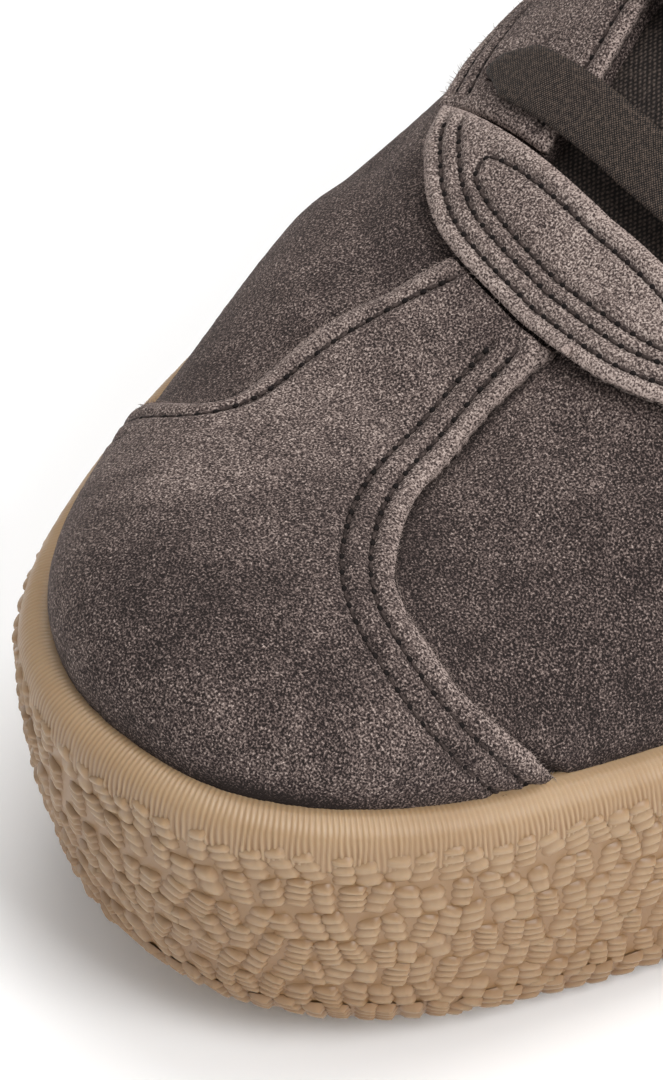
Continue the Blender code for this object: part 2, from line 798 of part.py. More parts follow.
def make_leg(side, parts, cutters, collar, pins):
    """One leg of the eyestay, from the throat bar back to the collar."""
    name = "eyestay_medial" if side > 0 else "eyestay_lateral"
    finish = material("suede_" + name, (0.10, 0.078, 0.068), 0.95)
    faces = stretch(THROAT_FRONT / 2, COLLAR_FRONT + THROAT_LENGTH / 2)
    made = layer(name, -OVERLAY, OVERLAY, faces, parts, finish)
    middle = throat_middle(THROAT_FRONT + THROAT_LENGTH / 2)
    start = GAP / THROAT_LENGTH
    inner = throat_rows("inner", 0, start)
    outer = throat_rows("outer", 0, start)
    outline = [(middle + side * out, back) for out, back in inner + outer[::-1]]
    shape = prism(name + "_outline", outline, CUT_LOW, CUT_TOP, "Z", cutters)
    cut(made, collar)
    cut(made, shape, "INTERSECT")
    for pin_side, pin in pins:
        if pin_side == side:
            cut(made, pin)
    return made


def make_tongue(parts, cutters):
    """Padded tongue under the throat, from inside the vamp to above the collar."""
    finish = material("tongue_cloth", (0.035, 0.030, 0.028), 0.95)
    under = -(UPPER_INSET + WALL + GAP + TONGUE_THICKNESS)
    faces = stretch(TONGUE_START / 2, TONGUE_END + THROAT_LENGTH / 2)
    made = layer("tongue", under, TONGUE_THICKNESS, faces, parts, finish)
    middle = throat_middle(THROAT_FRONT + THROAT_LENGTH / 2)
    length = TONGUE_END - TONGUE_START
    rows = [(TONGUE.at("half", s) * BALL_WIDTH, TONGUE_START + s * length) for s in TONGUE_SHARES]
    shape = prism("tongue_outline", both_sides(rows, middle), CUT_LOW, CUT_TOP, "Z", cutters)
    cut(made, shape, "INTERSECT")
    return made


def make_laces(parts):
    """Flat bars of the lace, each lying over the legs from hole to hole."""
    tree = BVHTree.FromPolygons([Vector(v) for v in skin_at(GAP)], SKIN_FACES)
    middle = throat_middle(THROAT_FRONT + THROAT_LENGTH / 2)
    down = Vector((0, 0, -1))
    for number, (along, out) in enumerate(EYELETS.rows, start=1):
        reach = out * BALL_WIDTH - EYELET_RADIUS - 2 * GAP
        d = THROAT_FRONT + along * THROAT_LENGTH
        low = []
        for share in np.linspace(-1, 1, LACE_STEPS + 1):
            x = middle + share * reach
            rows = []
            for edge in (-0.5, 0.5):
                point, normal, _, _ = tree.ray_cast(Vector((x, d, INSTEP_HEIGHT * 2)), down)
                slope = Vector((0, -normal.z, normal.y)).normalized()
                slope = slope if slope.y > 0 else -slope
                start = point + slope * edge * LACE_WIDTH
                hit, _, _, _ = tree.ray_cast(Vector((x, start.y, INSTEP_HEIGHT * 2)), down)
                rows.append(hit)
            low.append(rows)
        make_lace_bar(f"lace_bar_{number}", low, parts)


def make_lace_bar(name, low, parts):
    """One bar: a strip between two rows of points, thickened upwards."""
    finish = material(name + "_weave", (0.045, 0.034, 0.028), 0.8)
    vertices = [tuple(point) for pair in low for point in pair]
    faces = [(2 * i, 2 * i + 1, 2 * i + 3, 2 * i + 2) for i in range(len(low) - 1)]
    made = add_object(name, place(vertices), faces, parts, finish)
    face_out(made, [(0, 0, 1)] * len(vertices))
    lift = thickness(made, LACE_THICKNESS, 1)
    lift.use_even_offset = False


def main():
    for old in list(bpy.data.objects):
        bpy.data.objects.remove(old, do_unlink=True)
    parts = collection("skate_shoe")
    cutters = collection("cutters")
    collar = collar_cutter(cutters)
    throat = throat_cutter(cutters)
    pins = eyelet_cutters(cutters)
    make_cupsole(parts, cutters)
    make_insole(parts)
    make_upper(parts, collar, throat, pins)
    make_toe_piece(parts, cutters)
    make_throat_bar(parts, cutters)
    for side in (1, -1):
        make_leg(side, parts, cutters, collar, pins)
    make_tongue(parts, cutters)
    make_laces(parts)


main()
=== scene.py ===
"""Low skateboarding shoe, right foot: suede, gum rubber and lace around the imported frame.

Everything is in metres in the frame of the CAD part: toe towards -Y, inner side of the
foot towards +X, floor at z = 0. The forms are worked out in the last's own frame, in
which d runs back from the toe, and moved over by PLACE at the end.
"""

import logging
import math
import random
from dataclasses import dataclass
from enum import Enum
from typing import Callable, Iterable, Optional, Sequence

import bmesh
import bpy
import numpy as np
from mathutils import Matrix, Vector, noise
from mathutils.bvhtree import BVHTree
from mathutils.kdtree import KDTree


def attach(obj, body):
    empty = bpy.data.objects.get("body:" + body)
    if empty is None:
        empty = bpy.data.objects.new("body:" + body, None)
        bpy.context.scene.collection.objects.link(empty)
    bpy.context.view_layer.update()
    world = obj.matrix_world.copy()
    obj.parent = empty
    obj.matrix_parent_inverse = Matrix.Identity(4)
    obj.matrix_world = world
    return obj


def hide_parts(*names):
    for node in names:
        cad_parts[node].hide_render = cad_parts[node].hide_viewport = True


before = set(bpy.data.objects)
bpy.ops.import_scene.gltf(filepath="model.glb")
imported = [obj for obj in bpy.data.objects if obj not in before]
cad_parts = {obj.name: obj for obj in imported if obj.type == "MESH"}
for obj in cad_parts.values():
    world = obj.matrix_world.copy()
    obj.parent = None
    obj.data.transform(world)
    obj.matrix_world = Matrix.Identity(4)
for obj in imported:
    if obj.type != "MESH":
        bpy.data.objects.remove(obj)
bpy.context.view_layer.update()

LOG = logging.getLogger("skate_shoe")
MM = 0.001
Level = Callable[[np.ndarray], np.ndarray]


class Side(Enum):
    """Sides of the foot, with the sign of x on each."""

    MEDIAL = 1
    LATERAL = -1


class Table:
    """Rows of numbers under named columns, read smoothly along the first one."""

    def __init__(self, columns: str, rows: Sequence[Sequence[float]]) -> None:
        """Keep the rows under their columns' names."""
        self.columns = columns.split()
        self.rows = np.array(rows, dtype=float)

    def column(self, name: str) -> np.ndarray:
        """Return one column."""
        return self.rows[:, self.columns.index(name)]

    def at(self, name: str, place: np.ndarray) -> np.ndarray:
        """Read a column on a cubic that never overshoots its rows.

        Args:
            name: The column to read.
            place: Places along the first column.

        Returns:
            The column's values there.
        """
        xs, ys = self.column(self.columns[0]), self.column(name)
        steps = np.diff(xs)
        slopes = np.diff(ys) / steps
        tangents = np.concatenate([slopes[:1], np.zeros(len(slopes) - 1), slopes[-1:]])
        for i in range(1, len(slopes)):
            before, after = slopes[i - 1], slopes[i]
            if before * after > 0:
                a = 2 * steps[i] + steps[i - 1]
                b = steps[i] + 2 * steps[i - 1]
                tangents[i] = (a + b) / (a / before + b / after)
        x = np.clip(np.asarray(place, dtype=float), xs[0], xs[-1])
        i = np.clip(np.searchsorted(xs, x, side="right") - 1, 0, len(slopes) - 1)
        t = (x - xs[i]) / steps[i]
        start = (2 * t**3 - 3 * t**2 + 1) * ys[i] + (t**3 - 2 * t**2 + t) * steps[i] * tangents[i]
        end = (3 * t**2 - 2 * t**3) * ys[i + 1] + (t**3 - t**2) * steps[i] * tangents[i + 1]
        return start + end


# The last, in shares of its own sizes, as in the part's source
OUTLINE = Table("along medial lateral", (
    (0.000, 0.078, 0.078), (0.012, 0.241, -0.051), (0.040, 0.332, -0.157),
    (0.090, 0.402, -0.269), (0.160, 0.438, -0.385), (0.250, 0.459, -0.493),
    (0.345, 0.465, -0.535), (0.440, 0.430, -0.515), (0.560, 0.361, -0.439),
    (0.680, 0.332, -0.385), (0.800, 0.337, -0.351), (0.890, 0.327, -0.317),
    (0.955, 0.254, -0.249), (0.990, 0.127, -0.127), (1.000, 0.000, 0.000),
))
RIDGE = Table("along height shift", (
    (0.000, 0.475, 0.050), (0.105, 0.508, 0.040), (0.170, 0.510, 0.025),
    (0.220, 0.551, 0.010), (0.280, 0.625, -0.012), (0.340, 0.732, -0.034),
    (0.420, 0.868, -0.036), (0.500, 1.000, -0.035), (0.600, 1.200, -0.015),
    (1.000, 1.293, 0.000),
))
RIBS = Table("along meets side top", (
    (0.00, 0.105, 0.776, 0.769), (0.10, 0.164, 0.857, 0.947), (0.20, 0.235, 0.954, 0.822),
    (0.30, 0.318, 1.078, 0.988), (0.38, 0.388, 1.030, 0.950), (0.50, 0.497, 0.880, 0.800),
    (0.65, 0.622, 0.790, 0.760), (0.85, 0.750, 0.740, 0.740), (1.00, 0.790, 0.750, 0.720),
))
SOLE = Table("along rim floor arch", (
    (0.00, 1.085, 1.05, 0.0), (0.30, 1.003, 1.00, 0.0), (0.47, 0.900, 1.06, 0.0),
    (0.59, 0.865, 1.20, 1.0), (0.72, 0.890, 1.30, 0.0), (1.00, 0.970, 1.35, 0.0),
))
SIDE = Table("step band wall swell", (
    (0, 0.00, 0.00, 0.24), (1, 0.12, 0.00, 0.46), (2, 0.35, 0.00, 0.64),
    (3, 1.00, 0.00, 0.76), (4, 1.08, 0.00, 0.74), (5, 1.08, 0.30, 0.86),
    (6, 1.08, 0.62, 0.96), (7, 1.08, 0.86, 1.06), (8, 1.08, 0.96, 0.90),
))
COLLAR = Table("along height", (
    (0.470, 1.130), (0.500, 0.985), (0.530, 0.875), (0.580, 0.745), (0.640, 0.650),
    (0.720, 0.600), (0.800, 0.620), (0.880, 0.680), (0.950, 0.742), (1.050, 0.765),
))
THROAT = Table("along inner outer", (
    (0.00, 0.125, 0.335), (0.15, 0.140, 0.385), (0.30, 0.172, 0.405),
    (0.50, 0.195, 0.400), (0.75, 0.212, 0.375), (1.10, 0.225, 0.340),
))
EYELETS = Table("along out", ((0.10, 0.290), (0.37, 0.275), (0.64, 0.290), (0.87, 0.300)))
TOE_SEAM = Table("step medial medial_back lateral lateral_back", (
    (0, 0.540, 0.600, 0.540, 0.600), (1, 0.448, 0.503, 0.448, 0.503),
    (2, 0.437, 0.457, 0.437, 0.457), (3, 0.405, 0.420, 0.400, 0.416),
    (4, 0.350, 0.394, 0.330, 0.394), (5, 0.290, 0.393, 0.245, 0.395),
    (6, 0.235, 0.405, 0.180, 0.415), (7, 0.180, 0.457, 0.154, 0.460),
    (8, 0.133, 0.527, 0.163, 0.535), (9, 0.108, 0.600, 0.167, 0.600),
    (10, 0.080, 0.720, 0.150, 0.717), (11, 0.068, 0.845, 0.118, 0.845),
))
BAR_EDGE = Table("step out ahead", (
    (0, 0.330, 0.04), (1, 0.302, 0.33), (2, 0.256, 0.58), (3, 0.200, 0.81),
    (4, 0.140, 0.945), (5, 0.070, 0.993), (6, 0.000, 1.00),
))


def closed_curve(points: np.ndarray, count: int) -> np.ndarray:
    """Lay points evenly in parameter on a smooth closed curve.

    Args:
        points: The points that the curve runs through, in order.
        count: How many points to return.

    Returns:
        Points of the curve, once around.
    """
    total = len(points)
    spans = np.linalg.norm(np.roll(points, -1, axis=0) - points, axis=1) ** 0.5
    knots = np.concatenate([[0.0], np.cumsum(spans)])
    tangents = np.zeros_like(points)
    for i in range(total):
        before = (points[i] - points[i - 1]) / spans[i - 1]
        after = (points[(i + 1) % total] - points[i]) / spans[i]
        tangents[i] = (before * spans[i] + after * spans[i - 1]) / (spans[i - 1] + spans[i])
    s = np.linspace(0.0, knots[-1], count, endpoint=False)
    i = np.clip(np.searchsorted(knots, s, side="right") - 1, 0, total - 1)
    j = (i + 1) % total
    t = ((s - knots[i]) / spans[i])[:, None]
    h = spans[i][:, None]
    start = (2 * t**3 - 3 * t**2 + 1) * points[i] + (t**3 - 2 * t**2 + t) * h * tangents[i]
    end = (3 * t**2 - 2 * t**3) * points[j] + (t**3 - t**2) * h * tangents[j]
    return start + end


def run_along(points: np.ndarray) -> np.ndarray:
    """Return the distance run along a line at each of its points."""
    return np.concatenate([[0.0], np.cumsum(np.linalg.norm(np.diff(points, axis=0), axis=1))])


def resample(points: np.ndarray, step: float) -> np.ndarray:
    """Space the points of an open line evenly.

    Args:
        points: The line's points.
        step: The wanted distance between neighbours.

    Returns:
        The line with evenly spaced points, its ends kept.
    """
    run = run_along(points)
    count = max(2, int(round(run[-1] / step)) + 1)
    at = np.linspace(0, run[-1], count)
    return np.column_stack([np.interp(at, run, column) for column in points.T])


def smoothed(points: np.ndarray, rounds: int) -> np.ndarray:
    """Average an open line with its neighbours, its ends kept."""
    line = points.copy()
    for _ in range(rounds):
        line[1:-1] = (line[:-2] + 2 * line[1:-1] + line[2:]) / 4
    return line


def bump(distance: np.ndarray, width: float) -> np.ndarray:
    """Bell that is 1 at no distance and nearly nothing past twice the width."""
    return np.exp(-((distance / width) ** 2))


def inside(points: np.ndarray, outline: np.ndarray) -> np.ndarray:
    """Measure how far plan points lie inside an outline.

    Args:
        points: Points as (x, y).
        outline: The closed outline's corners as (x, y).

    Returns:
        Distances to the outline, positive inside it.
    """
    starts, ends = outline, np.roll(outline, -1, axis=0)
    best = np.full(len(points), 1e9)
    crossings = np.zeros(len(points), dtype=int)
    for a, b in zip(starts, ends):
        along = b - a
        t = np.clip(((points - a) @ along) / max(along @ along, 1e-18), 0, 1)
        best = np.minimum(best, np.linalg.norm(points - (a + t[:, None] * along), axis=1))
        spans = (a[1] > points[:, 1]) != (b[1] > points[:, 1])
        if a[1] != b[1]:
            at = a[0] + (points[:, 1] - a[1]) / (b[1] - a[1]) * along[0]
            crossings += spans & (points[:, 0] < at)
    return np.where(crossings % 2 == 1, best, -best)


@dataclass
class Last:
    """The shoe's last: its driving sizes and the surface that they give."""

    length: float = 0.280
    ball_width: float = 0.100
    toe_spring: float = 0.0065
    spring_reach: float = 0.100
    instep_height: float = 0.1125
    belly_swell: float = 0.0010
    belly_height: float = 0.029
    lateral_fullness: float = 0.86
    fullness_start: float = 0.015
    fullness_reach: float = 0.040
    rim_height: float = 0.034
    rim_band: float = 0.0047
    side_swell: float = 0.0050
    toe_tuck: float = 0.0088
    tuck_reach: float = 0.125
    cup_floor: float = 0.0120
    arch_rise: float = 0.0030
    throat_front: float = 0.0795
    collar_front: float = 0.140
    stations: int = 420
    rows: int = 130
    fine: int = 400
    round_steps: int = 2400

    def __post_init__(self) -> None:
        """Work out the outline, the skin's points and its directions."""
        along = OUTLINE.column("along") * self.length
        medial = np.column_stack([along, OUTLINE.column("medial") * self.ball_width])
        lateral = np.column_stack([along, OUTLINE.column("lateral") * self.ball_width])
        curve = closed_curve(np.vstack([medial, lateral[1:-1][::-1]]), self.round_steps)
        curve = np.roll(curve, -curve[:, 0].argmin(), axis=0)
        heel = curve[:, 0].argmax()
        self.edges = {1: curve[: heel + 1], -1: np.vstack([curve[:1], curve[heel:][::-1]])}
        front = self.edges[1]
        run = run_along(front)
        stops = np.interp(np.linspace(0, run[-1], self.stations + 1), run, front[:, 0])
        inner = stops[1:-1]
        self.loop = np.vstack([
            [[front[0, 1], front[0, 0]]],
            np.column_stack([self.across(inner, 1), inner]),
            [[front[-1, 1], front[-1, 0]]],
            np.column_stack([self.across(inner, -1), inner])[::-1],
        ])
        step = np.roll(self.loop, -1, axis=0) - np.roll(self.loop, 1, axis=0)
        step /= np.linalg.norm(step, axis=1)[:, None]
        self.out = np.column_stack([step[:, 1], -step[:, 0]])
        self.out *= np.sign(((self.loop - self.loop.mean(axis=0)) * self.out).sum())
        self.run = run_along(np.vstack([self.loop, self.loop[:1]]))
        sides = np.where(np.arange(len(self.loop)) <= self.stations, 1, -1)
        self.skin = np.stack([self.rib(p, n, s) for p, n, s in zip(self.loop, self.out, sides)])
        self.tree = self.skin_tree()

    def across(self, d: np.ndarray, side: int) -> np.ndarray:
        """Return the outline's x at distances d from the toe on a side."""
        return np.interp(d, self.edges[side][:, 0], self.edges[side][:, 1])

    def spring(self, d: np.ndarray) -> np.ndarray:
        """Return the lift of the toe at distances d."""
        return self.toe_spring * np.clip(1 - d / self.spring_reach, 0, 1.2) ** 2.2

    def bottom(self, d: np.ndarray) -> np.ndarray:
        """Return the height of the tread."""
        return self.spring(d) + self.arch_rise * SOLE.at("arch", d / self.length)

    def rim(self, d: np.ndarray) -> np.ndarray:
        """Return the height of the cup's rim."""
        return self.spring(d) + self.rim_height * SOLE.at("rim", d / self.length)

    def floor(self, d: np.ndarray) -> np.ndarray:
        """Return the height of the cup's floor."""
        return self.spring(d) + self.cup_floor * SOLE.at("floor", d / self.length)

    def middle(self, d: float) -> float:
        """Return the x of the top line at a distance from the toe."""
        return float(RIDGE.at("shift", d / self.length)) * self.ball_width

    def rib(self, foot: np.ndarray, out: np.ndarray, side: int) -> np.ndarray:
        """Climb from the rim to the top line in evenly spaced steps.

        Args:
            foot: Plan point on the outline, as (x, d).
            out: The outline's direction outwards there.
            side: 1 on the medial side, -1 on the fuller lateral one.

        Returns:
            The rib's points as (x, d, z), rim first.
        """
        d = foot[1]
        share = d / self.length
        meets = float(RIBS.at("meets", share))
        top = np.array([self.middle(meets * self.length), meets * self.length])
        angle = np.linspace(0, math.pi / 2, self.fine)
        full = 1.0
        if side < 0:
            reach = np.clip((d - self.fullness_start) / self.fullness_reach, 0, 1)
            full += (self.lateral_fullness - 1) * reach
        rise = np.sin(angle) ** (RIBS.at("top", share) * full)
        lean = 1 - np.maximum(np.cos(angle), 0.0) ** (RIBS.at("side", share) * full)
        height = (RIDGE.at("height", meets) * self.instep_height - self.rim(d)) * rise
        part = np.clip(height / self.belly_height, 0, 1)
        swell = self.belly_swell * 6.75 * part * (1 - part) ** 2 * np.clip(3 - 3 * lean, 0, 1)
        plan = foot + np.outer(lean, top - foot) + np.outer(swell, out)
        line = np.column_stack([plan, self.rim(d) + height])
        run = run_along(line)
        at = np.linspace(0, run[-1], self.rows + 1)
        return np.column_stack([np.interp(at, run, column) for column in line.T])

    def skin_tree(self) -> BVHTree:
        """Return a search tree over the skin, in the last's frame."""
        count, rows = self.skin.shape[:2]
        index = np.arange(count * rows).reshape(count, rows)
        after = np.roll(index, -1, axis=0)
        quads = np.stack([index[:, :-1], after[:, :-1], after[:, 1:], index[:, 1:]], axis=-1)
        return BVHTree.FromPolygons(self.skin.reshape(-1, 3).tolist(), quads.reshape(-1, 4).tolist())

    def around(self, run: np.ndarray) -> np.ndarray:
        """Return station numbers for distances run around the outline from the toe."""
        wrapped = np.mod(run, self.run[-1])
        return np.interp(wrapped, self.run, np.arange(len(self.run)))

    def paired(self, run: np.ndarray) -> np.ndarray:
        """Return station numbers at runs from the toe, with the same d on both sides."""
        station = self.around(np.abs(run))
        return np.where(run < 0, len(self.loop) - station, station)

    def at(self, station: np.ndarray, row: np.ndarray) -> np.ndarray:
        """Read the skin between its points; rows below zero tuck down into the cup.

        Args:
            station: Station numbers around the outline, fractions allowed.
            row: Heights up the rib from 0 at the rim to 1 at the top line, or down
                to -1 at the cup's floor.

        Returns:
            Points as (x, d, z).
        """
        count = len(self.skin)
        i = np.floor(station).astype(int)
        s = (station - i)[:, None]
        r = np.clip(row, 0, 1) * self.rows
        j = np.minimum(np.floor(r).astype(int), self.rows - 1)
        t = (r - j)[:, None]
        a, b = self.skin[i % count], self.skin[(i + 1) % count]
        n = np.arange(len(station))
        low = a[n, j] * (1 - s) + b[n, j] * s
        high = a[n, j + 1] * (1 - s) + b[n, j + 1] * s
        points = low * (1 - t) + high * t
        drop = self.rim(points[:, 1]) - self.floor(points[:, 1]) - 0.3 * MM
        points[:, 2] -= np.clip(-row, 0, 1) * drop
        return points

    def plan(self, station: np.ndarray) -> tuple[np.ndarray, np.ndarray]:
        """Return the outline's points and outward directions at stations."""
        count = len(self.loop)
        i = np.floor(station).astype(int)
        s = (station - i)[:, None]
        foot = self.loop[i % count] * (1 - s) + self.loop[(i + 1) % count] * s
        out = self.out[i % count] * (1 - s) + self.out[(i + 1) % count] * s
        return foot, out

    def nearest(self, point: Sequence[float]) -> tuple[Vector, Vector]:
        """Return the skin's spot nearest to a point and its direction outwards."""
        spot, normal, _, _ = self.tree.find_nearest(Vector(point))
        return spot, normal if normal.z > -0.2 else -normal

    def dropped(self, plan: np.ndarray) -> np.ndarray:
        """Return the skin's points under plan points."""
        return np.array([self.down(x, d)[0] for x, d in plan])

    def down(self, x: float, d: float) -> tuple[Vector, Vector]:
        """Find the skin under a plan point.

        Args:
            x: Place across the last.
            d: Distance from the toe.

        Returns:
            The point on the skin and its direction outwards.
        """
        point, normal, _, _ = self.tree.ray_cast(Vector((x, d, 0.3)), Vector((0, 0, -1)))
        return point, normal if normal.z > 0 else -normal

    def side_ring(self, station: np.ndarray, step: np.ndarray) -> np.ndarray:
        """Return points on the side of the sole, from the SIDE table.

        Args:
            station: Station numbers around the outline.
            step: Steps of the SIDE table, fractions allowed.

        Returns:
            Points as (x, d, z).
        """
        foot, out = self.plan(station)
        swell = SIDE.at("swell", step) * self.side_swell
        top, bottom = self.rim(foot[:, 1]), self.bottom(foot[:, 1])
        drop = self.rim_band * SIDE.at("band", step)
        below = (top - drop - bottom) * SIDE.at("wall", step)
        low = (drop + below) / (top - bottom)
        toe = np.clip(1 - foot[:, 1] / self.tuck_reach, 0, 1)
        moved = foot + out * (swell - self.toe_tuck * toe * low**2)[:, None]
        return np.column_stack([moved, top - drop - below])


LAST = Last()
THROAT_LENGTH = LAST.collar_front - LAST.throat_front
UPPER_INSET = 1.9 * MM
OVERLAY = 1.6 * MM


def sole_centre() -> Vector:
    """Return the middle of the sole's plan, which stands over the part's origin."""
    station = np.arange(len(LAST.loop), dtype=float)
    rings = np.vstack([
        LAST.side_ring(station, np.full(len(station), float(step))) for step in range(len(SIDE.rows))
    ])
    centre = (rings.max(axis=0) + rings.min(axis=0)) / 2
    return Vector((centre[0], centre[1], 0))


PLACE = Matrix.Translation(-sole_centre())


# Finishes


def linear(hex_colour: str) -> tuple[float, float, float, float]:
    """Turn an sRGB hex colour to linear values.

    Args:
        hex_colour: A colour such as "#4b413e".

    Returns:
        Red, green, blue and alpha in linear light.
    """
    values = [int(hex_colour[i:i + 2], 16) / 255 for i in (1, 3, 5)]
    values = [v / 12.92 if v <= 0.04045 else ((v + 0.055) / 1.055) ** 2.4 for v in values]
    return (*values, 1.0)


def node(tree: bpy.types.NodeTree, kind: str, settings: dict, links: dict) -> bpy.types.Node:
    """Add a node to a tree.

    Args:
        tree: The material's node tree.
        kind: Blender's name of the node type.
        settings: Attributes by name, and input values by the input's name or number.
        links: Sockets to join, by the name or number of the input.

    Returns:
        The new node.
    """
    made = tree.nodes.new(kind)
    for name, value in settings.items():
        if isinstance(name, str) and hasattr(made, name):
            setattr(made, name, value)
        else:
            made.inputs[name].default_value = value
    for name, socket in links.items():
        tree.links.new(socket, made.inputs[name])
    return made


def ramp(made: bpy.types.Node, stops: Sequence[tuple[float, str]]) -> bpy.types.Node:
    """Give a colour ramp its stops.

    Args:
        made: The ramp's node.
        stops: Places from 0 to 1 and their hex colours.

    Returns:
        The same node.
    """
    elements = made.color_ramp.elements
    while len(elements) < len(stops):
        elements.new(0.5)
    for element, (place, colour) in zip(elements, stops):
        element.position = place
        element.color = linear(colour)
    return made


def started(name: str) -> tuple[bpy.types.Material, bpy.types.NodeTree]:
    """Return a new material and its node tree."""
    made = bpy.data.materials.new(name)
    made.use_nodes = True
    return made, made.node_tree


def shaded(made: bpy.types.Material, links: dict, settings: dict) -> bpy.types.Material:
    """Join sockets to a material's shader and set the shader's other inputs.

    Args:
        made: The material.
        links: Sockets by the name of the shader's input.
        settings: Values by the name of the shader's input.

    Returns:
        The same material.
    """
    shader = made.node_tree.nodes["Principled BSDF"]
    for name, socket in links.items():
        made.node_tree.links.new(socket, shader.inputs[name])
    for name, value in settings.items():
        shader.inputs[name].default_value = value
    return made


@dataclass(frozen=True)
class Suede:
    """Cow suede stroked with a brush: a short nap of dark roots and pale tips, lying in patches.

    It gives the eye a sharp salt-and-pepper grain about 0.45 mm across with no
    highlight, soft clouds of stroked nap 10 to 20 mm wide, and pale fibres wherever it is
    cut. Painted shade darkens its sunk seams and a band just above the rim.
    """

    name: str = "brushed_suede"
    root: str = "#1b1514"
    middle: str = "#483d3a"
    tip: str = "#786a64"
    spark: str = "#ae9f97"
    cut: str = "#9c8c85"
    # Near-black painted shade for the sunk seams
    hole: str = "#171211"
    grain_mm: float = 0.26
    clump_mm: float = 2.6
    cloud_mm: float = 16.0
    clump_share: float = 0.15
    cloud_share: float = 0.19
    sheen: float = 0.10
    halo: str = "#c9b3aa"

    def build(self) -> bpy.types.Material:
        """Make the material and return it."""
        made, tree = started(self.name)
        where = node(tree, "ShaderNodeTexCoord", {}, {}).outputs["Object"]
        grain, clump, cloud = (node(tree, "ShaderNodeTexNoise", settings, {
            "Vector": where}).outputs["Fac"] for settings in (
            {"Scale": 1 / (self.grain_mm * MM), "Detail": 1.0, "Roughness": 0.6},
            {"Scale": 0.5 / (self.clump_mm * MM), "Detail": 2.0, "Distortion": 0.4},
            {"Scale": 0.5 / (self.cloud_mm * MM), "Detail": 2.0, "Distortion": 0.6}))
        # The first attribute holds the nap's tone together with the painted shade above the rim
        brushed, edge, groove = (node(tree, "ShaderNodeAttribute", {
            "attribute_name": name}, {}).outputs["Fac"] for name in ("brushed", "edge", "groove"))
        mixed = node(tree, "ShaderNodeMath", {"operation": "ADD"}, {0: grain, 1: brushed}).outputs[0]
        for pattern, share in ((clump, self.clump_share), (cloud, self.cloud_share)):
            mixed = node(tree, "ShaderNodeMath", {"operation": "MULTIPLY_ADD", 1: share}, {
                0: pattern, 2: mixed}).outputs[0]
        tone = ramp(node(tree, "ShaderNodeValToRGB", {}, {0: mixed}), (
            (0.51, self.root), (0.66, self.middle), (0.79, self.tip), (0.93, self.spark),
        )).outputs["Color"]
        tufts = node(tree, "ShaderNodeMapRange", {1: 0.42, 2: 0.62}, {0: grain}).outputs[0]
        ragged = node(tree, "ShaderNodeMath", {"operation": "MULTIPLY"}, {0: edge, 1: tufts}).outputs[0]
        pale = node(tree, "ShaderNodeMix", {"data_type": "RGBA", 7: linear(self.cut)}, {
            0: ragged, 6: tone}).outputs[2]
        # Painted shade: the sunk seams darkened nearly to black
        deep = node(tree, "ShaderNodeMath", {
            "operation": "MULTIPLY", 1: 0.9, "use_clamp": True}, {0: groove}).outputs[0]
        colour = node(tree, "ShaderNodeMix", {"data_type": "RGBA", 7: linear(self.hole)}, {
            0: deep, 6: pale}).outputs[2]
        raised = node(tree, "ShaderNodeBump", {
            "Strength": 1.0, "Distance": 0.16 * MM}, {"Height": grain}).outputs["Normal"]
        raised = node(tree, "ShaderNodeBump", {
            "Strength": 0.5, "Distance": 0.4 * MM}, {"Height": clump, "Normal": raised}).outputs["Normal"]
        return shaded(made, {"Base Color": colour, "Normal": raised}, {
            "Roughness": 0.96, "Specular IOR Level": 0.20, "Sheen Weight": self.sheen,
            "Sheen Roughness": 0.5, "Sheen Tint": linear(self.halo)})


@dataclass(frozen=True)
class GumRubber:
    """Moulded natural gum rubber: satin, a little translucent, with faint mottling.

    It gives the eye a warm honey colour that glows where it is thin and soft wide
    highlights on each moulded crest, with painted shade in the dips and down the wall.
    """

    name: str = "gum_rubber"
    body: str = "#9f8566"
    cloudy: str = "#94795a"
    # Colour of the painted shade in the dips between crests and on the lower wall
    hollow: str = "#7c5a37"
    roughness: float = 0.42
    mottle_mm: float = 9.0
    grain_mm: float = 0.5

    def build(self) -> bpy.types.Material:
        """Make the material and return it."""
        made, tree = started(self.name)
        where = node(tree, "ShaderNodeTexCoord", {}, {}).outputs["Object"]
        mottle = node(tree, "ShaderNodeTexNoise", {
            "Scale": 0.5 / (self.mottle_mm * MM), "Detail": 3.0}, {"Vector": where}).outputs["Fac"]
        grain = node(tree, "ShaderNodeTexNoise", {
            "Scale": 0.5 / (self.grain_mm * MM), "Detail": 2.0}, {"Vector": where}).outputs["Fac"]
        tone = ramp(node(tree, "ShaderNodeValToRGB", {}, {0: mottle}), (
            (0.30, self.cloudy), (0.62, self.body))).outputs["Color"]
        # Painted shade: the deep attribute darkens dips, rib valleys and the lower wall
        deep = node(tree, "ShaderNodeAttribute", {"attribute_name": "deep"}, {}).outputs["Fac"]
        tone = node(tree, "ShaderNodeMix", {"data_type": "RGBA", 7: linear(self.hollow)}, {
            0: deep, 6: tone}).outputs[2]
        satin = node(tree, "ShaderNodeMapRange", {
            3: self.roughness - 0.05, 4: self.roughness + 0.08}, {0: grain}).outputs[0]
        raised = node(tree, "ShaderNodeBump", {
            "Strength": 0.25, "Distance": 0.06 * MM}, {"Height": grain}).outputs["Normal"]
        return shaded(made, {"Base Color": tone, "Roughness": satin, "Normal": raised}, {
            "IOR": 1.52, "Subsurface Weight": 0.2, "Subsurface Radius": (1.0, 0.6, 0.3),
            "Subsurface Scale": 1.2 * MM})


# How many bands a wave texture draws in one unit at a scale of 1
BANDS_PER_UNIT = 3.2


